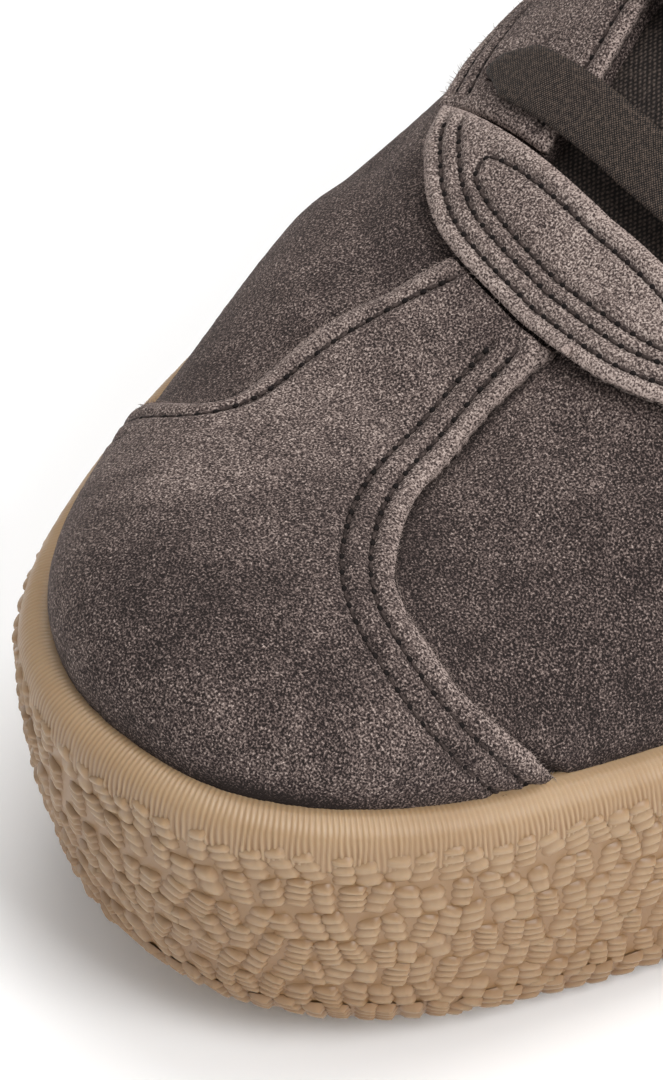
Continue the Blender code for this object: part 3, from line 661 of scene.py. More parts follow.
@dataclass(frozen=True)
class Woven:
    """Spun cotton or polyester weave, read along and across the cloth's own thread lines.

    It gives the eye a fine rib of crossing threads with small bright fibres.
    """

    name: str
    dark: str
    light: str
    thread_mm: float
    roughness: float = 0.85
    on_attribute: bool = False

    def build(self) -> bpy.types.Material:
        """Make the material and return it."""
        made, tree = started(self.name)
        if self.on_attribute:
            where = node(tree, "ShaderNodeAttribute", {"attribute_name": "weave"}, {}).outputs["Vector"]
        else:
            where = node(tree, "ShaderNodeTexCoord", {}, {}).outputs["Object"]
        turned = node(tree, "ShaderNodeMapping", {"Rotation": (0.0, 0.0, math.radians(38))}, {
            "Vector": where}).outputs[0]
        scale = 1 / (self.thread_mm * MM) / BANDS_PER_UNIT
        warp, weft = (node(tree, "ShaderNodeTexWave", {
            "wave_type": "BANDS", "bands_direction": way, "Scale": scale, "Distortion": 1.2,
            "Detail": 1.0}, {"Vector": turned}).outputs["Fac"] for way in "XY")
        weave = node(tree, "ShaderNodeMath", {"operation": "MULTIPLY"}, {0: warp, 1: weft}).outputs[0]
        fibre = node(tree, "ShaderNodeTexNoise", {
            "Scale": 0.5 / (0.30 * MM), "Detail": 3.0, "Roughness": 0.7}, {"Vector": where}).outputs["Fac"]
        both = node(tree, "ShaderNodeMath", {"operation": "MULTIPLY_ADD", 1: 0.5}, {
            0: weave, 2: fibre}).outputs[0]
        tone = ramp(node(tree, "ShaderNodeValToRGB", {}, {0: both}), (
            (0.52, self.dark), (0.95, self.light))).outputs["Color"]
        raised = node(tree, "ShaderNodeBump", {
            "Strength": 0.9, "Distance": 0.22 * MM}, {"Height": both}).outputs["Normal"]
        return shaded(made, {"Base Color": tone, "Normal": raised}, {
            "Roughness": self.roughness, "Specular IOR Level": 0.25})


@dataclass(frozen=True)
class Thread:
    """Bonded sewing thread, dyed to match the hide: a soft low gloss on a twisted cord."""

    name: str = "sewing_thread"
    dark: str = "#241d1b"
    colour: str = "#4b403c"

    def build(self) -> bpy.types.Material:
        """Make the material and return it."""
        made, tree = started(self.name)
        where = node(tree, "ShaderNodeTexCoord", {}, {}).outputs["Object"]
        twist = node(tree, "ShaderNodeTexNoise", {
            "Scale": 0.5 / (0.25 * MM), "Detail": 2.0}, {"Vector": where}).outputs["Fac"]
        tone = ramp(node(tree, "ShaderNodeValToRGB", {}, {0: twist}), (
            (0.35, self.dark), (0.75, self.colour))).outputs["Color"]
        raised = node(tree, "ShaderNodeBump", {
            "Strength": 0.6, "Distance": 0.08 * MM}, {"Height": twist}).outputs["Normal"]
        return shaded(made, {"Base Color": tone, "Normal": raised}, {
            "Roughness": 0.8, "Specular IOR Level": 0.15})


@dataclass(frozen=True)
class Foam:
    """Moulded insole foam under brushed cloth: dull, finely pitted and dark."""

    name: str = "insole_foam"
    dark: str = "#2b2826"
    light: str = "#454039"
    cell_mm: float = 0.7

    def build(self) -> bpy.types.Material:
        """Make the material and return it."""
        made, tree = started(self.name)
        where = node(tree, "ShaderNodeTexCoord", {}, {}).outputs["Object"]
        cell = node(tree, "ShaderNodeTexVoronoi", {
            "Scale": 1 / (self.cell_mm * MM)}, {"Vector": where}).outputs["Distance"]
        tone = ramp(node(tree, "ShaderNodeValToRGB", {}, {0: cell}), (
            (0.1, self.dark), (0.7, self.light))).outputs["Color"]
        raised = node(tree, "ShaderNodeBump", {
            "Strength": 0.6, "Distance": 0.2 * MM}, {"Height": cell}).outputs["Normal"]
        return shaded(made, {"Base Color": tone, "Normal": raised}, {"Roughness": 0.95})


# Meshes


def points_of(shape: bmesh.types.BMesh) -> np.ndarray:
    """Return a shape's points as an array."""
    return np.array([v.co for v in shape.verts])


def kept_mesh(shape: bmesh.types.BMesh, name: str) -> bpy.types.Mesh:
    """Keep a shape as a mesh and free it."""
    mesh = bpy.data.meshes.new(name)
    shape.to_mesh(mesh)
    shape.free()
    return mesh


def move_points(shape: bmesh.types.BMesh, points: np.ndarray) -> None:
    """Put a shape's points at new places, in order."""
    for vert, point in zip(shape.verts, points.tolist()):
        vert.co = point


def moved_grid(across: int, along: int, move: Callable[[np.ndarray, np.ndarray], np.ndarray],
               merge: float = 0.01 * MM) -> bmesh.types.BMesh:
    """Make a grid, send its points through a function and merge what meets.

    Args:
        across: Cells in the first direction.
        along: Cells in the second direction.
        move: Takes two arrays of shares from 0 to 1 and returns the points.
        merge: Points nearer than this become one.

    Returns:
        The shape, its faces all turned the same way.
    """
    shape = bmesh.new()
    bmesh.ops.create_grid(shape, x_segments=across, y_segments=along, size=1.0)
    flat = points_of(shape)
    move_points(shape, move((flat[:, 0] + 1) / 2, (flat[:, 1] + 1) / 2))
    bmesh.ops.remove_doubles(shape, verts=shape.verts, dist=merge)
    bmesh.ops.recalc_face_normals(shape, faces=shape.faces)
    shape.normal_update()
    return shape


def face_up(shape: bmesh.types.BMesh) -> None:
    """Turn an open sheet's faces over if most of them look down."""
    if sum(face.normal.z * face.calc_area() for face in shape.faces) < 0:
        bmesh.ops.reverse_faces(shape, faces=shape.faces)
        shape.normal_update()


def offset(shape: bmesh.types.BMesh, amount: np.ndarray) -> None:
    """Move a shape's points along their own normals."""
    normals = np.array([v.normal for v in shape.verts])
    move_points(shape, points_of(shape) + normals * np.asarray(amount).reshape(-1, 1))
    shape.normal_update()


def trim(shape: bmesh.types.BMesh, level: Level) -> np.ndarray:
    """Cut a triangulated sheet along the line where a level is nothing.

    Args:
        shape: The sheet.
        level: Takes points and says how far each is inside what stays.

    Returns:
        The points that now lie on the cut.
    """
    shape.verts.index_update()
    points = points_of(shape)
    levels = level(points)
    edges = np.array([[e.verts[0].index, e.verts[1].index] for e in shape.edges])
    a, b = levels[edges[:, 0]], levels[edges[:, 1]]
    across = np.nonzero(a * b < 0)[0]
    share = a[across] / (a[across] - b[across])
    near = np.where(share < 0.5, edges[across, 0], edges[across, 1])
    cost = np.minimum(share, 1 - share)
    order = np.argsort(-cost)
    start, end = points[edges[across, 0]], points[edges[across, 1]]
    crossing = start + (end - start) * share[:, None]
    moved = points.copy()
    moved[near[order]] = crossing[order]
    levels[near] = 0.0
    move_points(shape, moved)
    gone = [v for v, value in zip(list(shape.verts), levels) if value < 0]
    bmesh.ops.delete(shape, geom=gone, context="VERTS")
    shape.normal_update()
    return moved[np.unique(near)]


def nearest_on(points: np.ndarray, line: np.ndarray) -> tuple[np.ndarray, np.ndarray]:
    """Return the number of the line's point nearest to each point, and the distance."""
    tree = KDTree(len(line))
    for i, point in enumerate(line):
        tree.insert(point, i)
    tree.balance()
    found = [tree.find(point) for point in points]
    return np.array([hit[1] for hit in found]), np.array([hit[2] for hit in found])


def nap(points: np.ndarray, size: float, depth: float) -> np.ndarray:
    """Uneven height of a napped surface.

    Args:
        points: Where to read it.
        size: Width of one clump of fibres.
        depth: How far the clumps stand up.

    Returns:
        Heights, about as often up as down.
    """
    scaled = points / size
    return np.array([noise.noise(p) for p in scaled.tolist()]) * depth


def finished(name: str, shape: bmesh.types.BMesh, finishes: Sequence[bpy.types.Material],
             values: Optional[dict] = None) -> bpy.types.Object:
    """Make an object of a shape in the part's frame, and let it ride on the shoe.

    Args:
        name: The piece's name.
        shape: The shape, in the last's frame; it is freed.
        finishes: Materials in the order of their slots.
        values: Arrays to keep on the points, by name.

    Returns:
        The new object.
    """
    bmesh.ops.transform(shape, matrix=PLACE, verts=shape.verts)
    mesh = kept_mesh(shape, name)
    for key, value in (values or {}).items():
        kind = "FLOAT" if value.ndim == 1 else "FLOAT_VECTOR"
        kept = mesh.attributes.new(key, kind, "POINT")
        kept.data.foreach_set("value" if value.ndim == 1 else "vector", value.astype(np.float32).ravel())
    for finish in finishes:
        mesh.materials.append(finish)
    mesh.shade_smooth()
    made = bpy.data.objects.new(name, mesh)
    bpy.context.scene.collection.objects.link(made)
    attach(made, "root")
    LOG.info("%s: %d faces", name, len(mesh.polygons))
    return made


def dress_node(name: str, finish: bpy.types.Material) -> None:
    """Give a CAD node's own mesh one finish."""
    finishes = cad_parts[name].data.materials
    finishes.clear()
    finishes.append(finish)


def wall(made: bpy.types.Object, depth: float, inner: int = 0) -> None:
    """Give an open sheet its thickness inwards.

    Args:
        made: The sheet's object.
        depth: The wall's thickness.
        inner: How many material slots further the inner face takes its finish.
    """
    shell = made.modifiers.new("Wall", "SOLIDIFY")
    shell.thickness = depth
    shell.offset = -1
    shell.use_even_offset = False
    shell.material_offset = inner


def planted(templates: Sequence[bpy.types.Mesh], places: Iterable[tuple[int, Matrix]]) -> bmesh.types.BMesh:
    """Copy small shapes to many places.

    Args:
        templates: The small shapes.
        places: Which shape goes where.

    Returns:
        One shape that holds them all.
    """
    shape = bmesh.new()
    for kind, place in places:
        copy = templates[kind].copy()
        copy.transform(place)
        shape.from_mesh(copy)
        bpy.data.meshes.remove(copy)
    return shape


def facing(point: Vector, normal: Vector, along: Vector, scale: Vector) -> Matrix:
    """Return a matrix that stands a small shape on a surface.

    Args:
        point: Where its origin goes.
        normal: Where its Z looks.
        along: Where its Y looks, as nearly as the normal lets it.
        scale: Its size in X, Y and Z.

    Returns:
        The matrix.
    """
    z = normal.normalized()
    y = (along - z * along.dot(z)).normalized()
    x = y.cross(z)
    turn = Matrix((x, y, z)).transposed().to_4x4()
    return Matrix.Translation(point) @ turn @ Matrix.Diagonal((*scale, 1))


# Outlines seen from above, as the part's source cuts them


def both_sides(medial: np.ndarray, middle: float, lateral: Optional[np.ndarray] = None) -> np.ndarray:
    """Return a closed plan outline from (out, d) rows, mirrored where one side is given."""
    other = medial if lateral is None else lateral
    return np.vstack([medial + [middle, 0], other[::-1] * [-1, 1] + [middle, 0]])


def throat_side(column: str, start: float = 0.0) -> np.ndarray:
    """Return (out, d) rows of the throat's or the legs' edge from a front place back."""
    share = np.linspace(start, 1.1, 40)
    out = THROAT.at(column, share) * LAST.ball_width
    return np.column_stack([out, LAST.throat_front + share * THROAT_LENGTH])


def bar_front(grow: float) -> np.ndarray:
    """Return the throat bar's front edge as (out, d) rows, grown outwards."""
    step = np.linspace(0, len(BAR_EDGE.rows) - 1, 49)
    out = BAR_EDGE.at("out", step) * LAST.ball_width
    back = LAST.throat_front - BAR_EDGE.at("ahead", step) * BAR_DEPTH
    edge = np.column_stack([out + grow, back - grow])
    edge[-1, 0] = 0.0
    return edge


def seam_side(side: Side) -> np.ndarray:
    """Return (out, d) rows of the toe piece's seam on a side, rim first."""
    step = np.linspace(0, len(TOE_SEAM.rows) - 1, 120)
    name = side.name.lower()
    out = TOE_SEAM.at(name, step) * LAST.ball_width
    return np.column_stack([out, TOE_SEAM.at(name + "_back", step) * LAST.throat_front])


BAR_DEPTH = 14.5 * MM
GAP = 0.3 * MM
FRONT_MIDDLE = LAST.middle(LAST.throat_front)
THROAT_MIDDLE = LAST.middle(LAST.throat_front + THROAT_LENGTH / 2)
RIM = Table("step out height rib", (
    (0, -1.45, -3.00, 0.0), (1, -1.45, 0.00, 0.0), (2, -1.25, 0.32, 0.0), (3, -0.75, 0.46, 0.0),
    (4, -0.15, 0.42, 0.2), (5, 0.25, 0.30, 0.7), (6, 0.85, 0.38, 1.2), (7, 1.45, 0.27, 1.3),
    (8, 2.05, -0.04, 1.2), (9, 2.62, -0.45, 1.0), (10, 3.12, -1.00, 0.9), (11, 3.50, -1.65, 0.8),
    (12, 3.78, -2.45, 0.8), (13, 3.98, -3.35, 0.9), (14, 4.12, -4.30, 1.0), (15, 4.15, -5.20, 0.9),
    (16, 3.92, -5.90, 0.4), (17, 3.20, -6.15, 0.0), (18, 2.20, -5.40, 0.0),
))
RIM_END = 14
RIM_FRONT = 7
RIM_CREST = 4
WALL_INSETS = ((1.0, 0.30), (2.6, 0.02), (6.0, 3.0), (6.0, 9.0))


def ring(across: np.ndarray, along: np.ndarray, steps: int) -> tuple[np.ndarray, ...]:
    """Read shares around the outline and through a section.

    Args:
        across: Shares around the outline from the toe.
        along: Shares through the section.
        steps: How many steps the section has.

    Returns:
        Station numbers, steps, the outline's points and its directions outwards.
    """
    station = LAST.around(across * LAST.run[-1]) % len(LAST.loop)
    step = np.round(along * steps).astype(int) % steps
    return station, step, *LAST.plan(station)


def scattered(number: np.ndarray) -> np.ndarray:
    """Turn whole numbers into values from -0.5 to 0.5 that look drawn at random."""
    turn, stretch = 12.9898, 43758.5453
    value = np.sin(number * turn) * stretch
    return value - np.floor(value) - 0.5


@dataclass
class GumCup:
    """Cup sole: a ribbed rim band and a pebbled wall around the CAD's well and tread."""

    rib_pitch: float = 0.62 * MM
    rib_depth: float = 0.075 * MM
    cells_per_rib: int = 4
    sway: float = 0.16
    sway_turns: int = 311
    crest_shade: float = 0.2
    ragged: float = 1.5 * MM
    proud: float = 0.2 * MM
    wall_cells: int = 560
    pebble_width: float = 1.66 * MM
    pebble_length: float = 2.50 * MM
    pebble_height: float = 0.84 * MM
    pebble_pitch: float = 2.95 * MM
    pebble_rows: int = 7
    pebble_jitter: float = 0.16
    lowest_pebble: float = 0.875
    tilt: float = 9.0
    drift: float = 16.0
    toe_zone: float = 0.070
    heel_zone: float = 0.215
    seed: int = 11

    def build(self) -> None:
        """Make the cup's pieces and dress its CAD node."""
        gum = GumRubber().build()
        dress_node("cupsole", gum)
        self.rim_band(gum)
        self.wall_base(gum)
        self.pebbles(gum)

    def rim_band(self, gum: bpy.types.Material) -> None:
        """Make the lip and the band of fine upright ribs as one closed ring."""
        ribs = int(round(LAST.run[-1] / self.rib_pitch))
        steps = len(RIM.rows)
        section = np.column_stack([RIM.column("out"), RIM.column("height")]) * MM
        slope = np.gradient(section, axis=0)
        slope /= np.linalg.norm(slope, axis=1)[:, None]
        deep = []

        def move(across: np.ndarray, along: np.ndarray) -> np.ndarray:
            """Send shares around and through the section to the ring."""
            _, step, foot, out = ring(across, along, steps)
            place = np.round(across * ribs * self.cells_per_rib)
            uneven = scattered(place // self.cells_per_rib % ribs)
            lower = np.clip((step - RIM_FRONT) / 6, 0, 1)
            sway = self.sway * lower * np.sin(across * self.sway_turns * math.pi + step * 0.8)
            wave = -np.cos((across * ribs + sway) * 2 * math.pi) * (1 + uneven * lower)
            relief = RIM.column("rib")[step] * self.rib_depth * wave
            away = section[step, 0] - relief * slope[step, 1]
            height = section[step, 1] + relief * slope[step, 0]
            height = height + np.where(step >= RIM_END, uneven * self.ragged, 0)
            top, bottom = LAST.rim(foot[:, 1]), LAST.bottom(foot[:, 1])
            low = -height / (top - bottom)
            toe = np.clip(1 - foot[:, 1] / LAST.tuck_reach, 0, 1)
            moved = foot + out * (away - LAST.toe_tuck * toe * low * np.abs(low))[:, None]
            # Painted shade in the valleys between the ribs: none at the lip, faint past the crest, full low
            # on the band
            crest = np.where(step > RIM_CREST, self.crest_shade, 0.0)
            deep.append(np.maximum(lower, crest) * np.clip(0.45 - 0.55 * wave, 0, 1))
            return np.column_stack([moved, top + height])

        shape = moved_grid(ribs * self.cells_per_rib, steps, move, 0)
        layer = shape.verts.layers.float.new("deep")
        for vert, value in zip(shape.verts, deep[0].tolist()):
            vert[layer] = value
        bmesh.ops.remove_doubles(shape, verts=shape.verts, dist=0.01 * MM)
        bmesh.ops.recalc_face_normals(shape, faces=shape.faces)
        finished("gum_rim_band", shape, [gum])

    def wall_base(self, gum: bpy.types.Material) -> None:
        """Make the smooth wall that the pebbles stand on, as a closed ring."""
        outer = np.linspace(3.4, 8.0, 16)
        steps = len(outer) + len(WALL_INSETS)

        def move(across: np.ndarray, along: np.ndarray) -> np.ndarray:
            """Send shares around and through the section to the ring."""
            station, step, foot, out = ring(across, along, steps)
            side = LAST.side_ring(station, outer[np.minimum(step, len(outer) - 1)])
            side[:, :2] += out * self.proud
            low = LAST.side_ring(station, np.full(len(station), outer[-1]))
            bottom = LAST.bottom(foot[:, 1])
            for number, (inset, lift) in enumerate(WALL_INSETS):
                here = step == len(outer) + number
                side[here, :2] = low[here, :2] - out[here] * inset * MM
                side[here, 2] = bottom[here] + lift * MM
            return side

        shape = moved_grid(self.wall_cells, steps, move)
        # Painted shade on the wall between the pebbles, strong all over and darker towards the floor
        deep = np.clip(0.95 - 0.35 * points_of(shape)[:, 2] / LAST.rim_height, 0, 1)
        finished("gum_wall", shape, [gum], {"deep": deep})

    def pebble_shapes(self) -> list[bpy.types.Mesh]:
        """Return ovals of two to four stacked round lobes, long in Y, two units in size."""
        shapes = []
        for lobes, lean in ((3, 0.10), (4, 0.30), (3, -0.28), (4, -0.08), (2, 0.12), (3, 0.34)):

            def move(across: np.ndarray, along: np.ndarray) -> np.ndarray:
                """Raise a flat grid to the stack of lobes."""
                place = np.round(along * lobes * 3) / 3
                lobe = np.floor(place + 1e-6)
                part = np.mod(place + 1e-6, 1.0)
                third = np.round(part * 3).astype(int) % 3
                y = (lobe + np.array([0.0, 0.30, 0.66])[third]) / lobes * 2 - 1
                x = across * 2 - 1
                crest = 1 - 0.42 * np.minimum(lobe, lobes - 1) / lobes
                height = crest * np.array([0.52, 1.0, 0.93])[third]
                ends = (place < 0.01) | (place > lobes - 0.01)
                height = np.where(ends, 0.0, height) * (1 - np.abs(x) ** 3) ** 0.5 * (1 - 0.4 * x)
                wide = (0.70 + 0.30 * np.sqrt(1 - (y / 1.05) ** 2)) * np.where(part < 0.01, 0.84, 1.0)
                return np.column_stack([x * wide - lean * y, y, height - 0.14])

            shape = moved_grid(5, lobes * 3, move)
            face_up(shape)
            shapes.append(kept_mesh(shape, "pebble_shape"))
        return shapes

    def pebbles(self, gum: bpy.types.Material) -> None:
        """Stand staggered lobed pebbles on the wall, in four pieces around the shoe."""
        draw = random.Random(self.seed)
        shapes = self.pebble_shapes()
        # Painted shade at each pebble's foot, by height on its shape
        hollow_shades = [np.clip(0.80 - 1.3 * np.array([v.co.z for v in mesh.vertices]), 0, 1) for mesh in shapes]
        zones: dict[str, list[tuple[int, Matrix]]] = {"toe": [], "medial": [], "lateral": [], "heel": []}
        shades: dict[str, list[np.ndarray]] = {zone: [] for zone in zones}
        count = int(LAST.run[-1] / self.pebble_pitch)
        for row in range(self.pebble_rows):
            for number in range(count):
                off = draw.uniform(-self.pebble_jitter, self.pebble_jitter)
                run = (number + 0.5 * (row % 2) + off) * self.pebble_pitch
                off = draw.uniform(-self.pebble_jitter, self.pebble_jitter)
                level = 0.955 * (row + 0.40 + off) / self.pebble_rows
                place, normal, down = self.on_wall(run % LAST.run[-1], min(level, self.lowest_pebble))
                tilt = math.radians(draw.gauss(0, self.tilt) + self.drift * noise.noise(place * 70))
                along = Matrix.Rotation(tilt, 3, normal) @ down
                scale = Vector((
                    self.pebble_width * draw.uniform(0.88, 1.12),
                    self.pebble_length * draw.uniform(0.84, 1.06),
                    self.pebble_height * draw.uniform(0.80, 1.10),
                ))
                side = "medial" if place.x > 0 else "lateral"
                zone = "toe" if place.y < self.toe_zone else "heel" if place.y > self.heel_zone else side
                kind = draw.randrange(len(shapes))
                zones[zone].append((kind, facing(place, normal, along, scale)))
                # Painted shade, deeper at each pebble's foot and in the lower rows
                shades[zone].append(np.clip(hollow_shades[kind] + 0.42 * level, 0, 1))
        for zone, places in zones.items():
            deep = np.concatenate(shades[zone])
            finished(f"gum_pebbles_{zone}", planted(shapes, places), [gum], {"deep": deep})
        for shape in shapes:
            bpy.data.meshes.remove(shape)

    def on_wall(self, run: float, share: float) -> tuple[Vector, Vector, Vector]:
        """Find a place on the sole's wall.

        Args:
            run: Distance around the outline from the toe.
            share: How far down the wall, 0 under the rib band and 1 at the lower edge.

        Returns:
            The point, its direction outwards and its direction down the wall.
        """
        station = LAST.around(np.array([run, run + 0.5 * MM, run, run]))
        passed = share + np.array([0, 0, 0, 0.01])
        step = np.interp(passed, SIDE.column("wall")[4:], SIDE.column("step")[4:])
        a, b, _, c = LAST.side_ring(station, step)
        down = Vector(c - a).normalized()
        normal = Vector(b - a).cross(down).normalized()
        outward = Vector((*LAST.plan(station[:1])[1][0], 0))
        normal = normal if normal.dot(outward) > 0 else -normal
        return Vector(a) + normal * self.proud, normal, down


@dataclass(frozen=True)
class Crease:
    """A soft fold in the hide, as a valley or a swelling along a short plan line.

    Each place is (out from the throat's middle, d), in metres; depth is how far the
    hide moves, inwards where it is negative, and width is half the fold's width.
    """

    line: tuple[tuple[float, float], ...]
    depth: float
    width: float


CREASES = (
    Crease(((0.016, 0.060), (0.026, 0.064), (0.037, 0.071)), -0.7 * MM, 3.0 * MM),
    Crease(((0.021, 0.054), (0.031, 0.058), (0.041, 0.067)), 0.5 * MM, 3.0 * MM),
    Crease(((0.026, 0.047), (0.035, 0.053), (0.043, 0.062)), -0.35 * MM, 3.2 * MM),
    Crease(((-0.016, 0.058), (-0.028, 0.062), (-0.040, 0.072)), -0.7 * MM, 3.2 * MM),
    Crease(((-0.020, 0.051), (-0.033, 0.055), (-0.045, 0.066)), 0.5 * MM, 3.4 * MM),
    Crease(((-0.009, 0.060), (0.000, 0.0585), (0.009, 0.060)), -0.35 * MM, 2.4 * MM),
    Crease(((-0.022, 0.040), (-0.006, 0.036), (0.012, 0.037)), -0.30 * MM, 5.0 * MM),
    Crease(((0.036, 0.108), (0.043, 0.116), (0.046, 0.128)), -0.8 * MM, 5.0 * MM),
    Crease(((-0.040, 0.110), (-0.047, 0.120), (-0.050, 0.132)), -0.8 * MM, 5.0 * MM),
)


def creased(points: np.ndarray) -> np.ndarray:
    """Return how far the creases move the hide at each point."""
    moved = np.zeros(len(points))
    for crease in CREASES:
        line = resample(np.array(crease.line), 1.5 * MM) + [FRONT_MIDDLE, 0]
        gap = np.min(np.linalg.norm(points[:, None, :2] - line[None], axis=2), axis=1)
        moved += crease.depth * bump(gap, crease.width)
    return moved


class NapAndRimShade:
    """Patches where the nap has been stroked light or dark, in the last's plan, and painted shade in a band
    just above the rim.
    """

    patches = (
        (0.010, 0.010, 0.020, 0.010, -0.16), (0.022, 0.016, 0.018, 0.009, -0.10),
        (-0.006, 0.024, 0.016, 0.009, 0.06), (0.014, 0.033, 0.014, 0.009, -0.10),
        (-0.016, 0.046, 0.012, 0.016, 0.07), (0.020, 0.046, 0.010, 0.010, 0.05),
        (0.034, 0.062, 0.010, 0.012, -0.09), (0.040, 0.080, 0.012, 0.014, 0.06),
        (-0.034, 0.060, 0.012, 0.014, 0.05), (0.030, 0.036, 0.007, 0.012, -0.05),
    )

    strength = 0.42
    # Middle and size of the spot near the toe where the painted shade above the rim is darkest
    rim_shade_spot = (31 * MM, 8 * MM, 9 * MM, 10 * MM)

    @staticmethod
    def spot(points: np.ndarray, x: float, d: float, wide: float, deep: float) -> np.ndarray:
        """Return an oval spot in plan, 1 in its middle and fading outwards."""
        return np.exp(-(((points[:, 0] - x) / wide) ** 2 + ((points[:, 1] - d) / deep) ** 2))

    @classmethod
    def at(cls, points: np.ndarray, base: float) -> np.ndarray:
        """Return how much lighter or darker than a base the nap lies at each point, with the painted shade
        above the rim taken off.
        """
        tone = np.full(len(points), base)
        for out, d, wide, deep, amount in cls.patches:
            tone += cls.strength * amount * cls.spot(points, FRONT_MIDDLE + out, d, wide, deep)
        # Painted shade: a dark band just above the rim all round, deeper in one spot near the toe
        height = points[:, 2] - LAST.rim(points[:, 1])
        rim_shade = cls.spot(points, *cls.rim_shade_spot)
        return tone - (0.05 + 0.30 * rim_shade) * bump(height, 2.2 * MM)


@dataclass
class Holes:
    """Lace holes punched through the legs and the upper."""

    radius: float = 2.2 * MM

    def places(self) -> list[tuple[Side, Vector, Vector]]:
        """Return each hole's side, its centre on the last's skin and its direction."""
        found = []
        for along, out in EYELETS.rows:
            for side in Side:
                x = THROAT_MIDDLE + side.value * out * LAST.ball_width
                found.append((side, *LAST.down(x, LAST.throat_front + along * THROAT_LENGTH)))
        return found

    def level(self, points: np.ndarray) -> np.ndarray:
        """Return how far points lie outside the nearest hole."""
        best = np.full(len(points), 1e9)
        for _, centre, axis in self.places():
            away = points - np.array(centre)
            along = away @ np.array(axis)
            flat = away - along[:, None] * np.array(axis)
            gap = np.linalg.norm(flat, axis=1) - self.radius
            best = np.minimum(best, np.where(np.abs(along) < 12 * MM, gap, 1e9))
        return best


HOLES = Holes()


LOW_SEAM_AT_RIM = 39.4 * MM
LOW_SEAM_SLOPE = 0.6
LOW_SEAM_TOP = 6 * MM
LOW_SEAM_BLEND = 2 * MM


def toe_level(points: np.ndarray) -> np.ndarray:
    """Return how far points lie inside the toe piece's outline.

    The medial side is upright at the rim, so low on it the seam follows the height.
    """
    height = points[:, 2] - LAST.rim(points[:, 1])
    low = np.clip((LOW_SEAM_TOP - height) / LOW_SEAM_BLEND, 0, 1) * (points[:, 0] > FRONT_MIDDLE)
    slanting = LOW_SEAM_AT_RIM - LOW_SEAM_SLOPE * height - points[:, 1]
    sides = []
    for side in Side:
        rows = seam_side(side)
        ahead = np.array([[LAST.ball_width, -LAST.ball_width], [LAST.ball_width, rows[0, 1]]])
        sides.append(np.vstack([ahead, rows]))
    whole = inside(points[:, :2], both_sides(sides[0], FRONT_MIDDLE, sides[1]))
    whole = whole * (1 - low) + slanting * low
    return np.minimum(whole, -bar_level(points, GAP, 0.3))


def bar_level(points: np.ndarray, grow: float, reach: float = 0.0) -> np.ndarray:
    """Return how far points lie inside the throat bar, grown and reaching back."""
    edge = bar_front(grow)
    rear = np.array([[edge[0, 0], LAST.throat_front - GAP / 2 + reach]])
    return inside(points[:, :2], both_sides(np.vstack([rear, edge]), FRONT_MIDDLE))


def throat_level(points: np.ndarray, column: str, start: float = 0.0) -> np.ndarray:
    """Return how far points lie inside the throat or the legs' outer edge."""
    return inside(points[:, :2], both_sides(throat_side(column, start), THROAT_MIDDLE))


def collar_level(points: np.ndarray) -> np.ndarray:
    """Return how far points lie below the collar line."""
    height = COLLAR.at("height", points[:, 1] / LAST.length) * LAST.instep_height
    return height - points[:, 2]


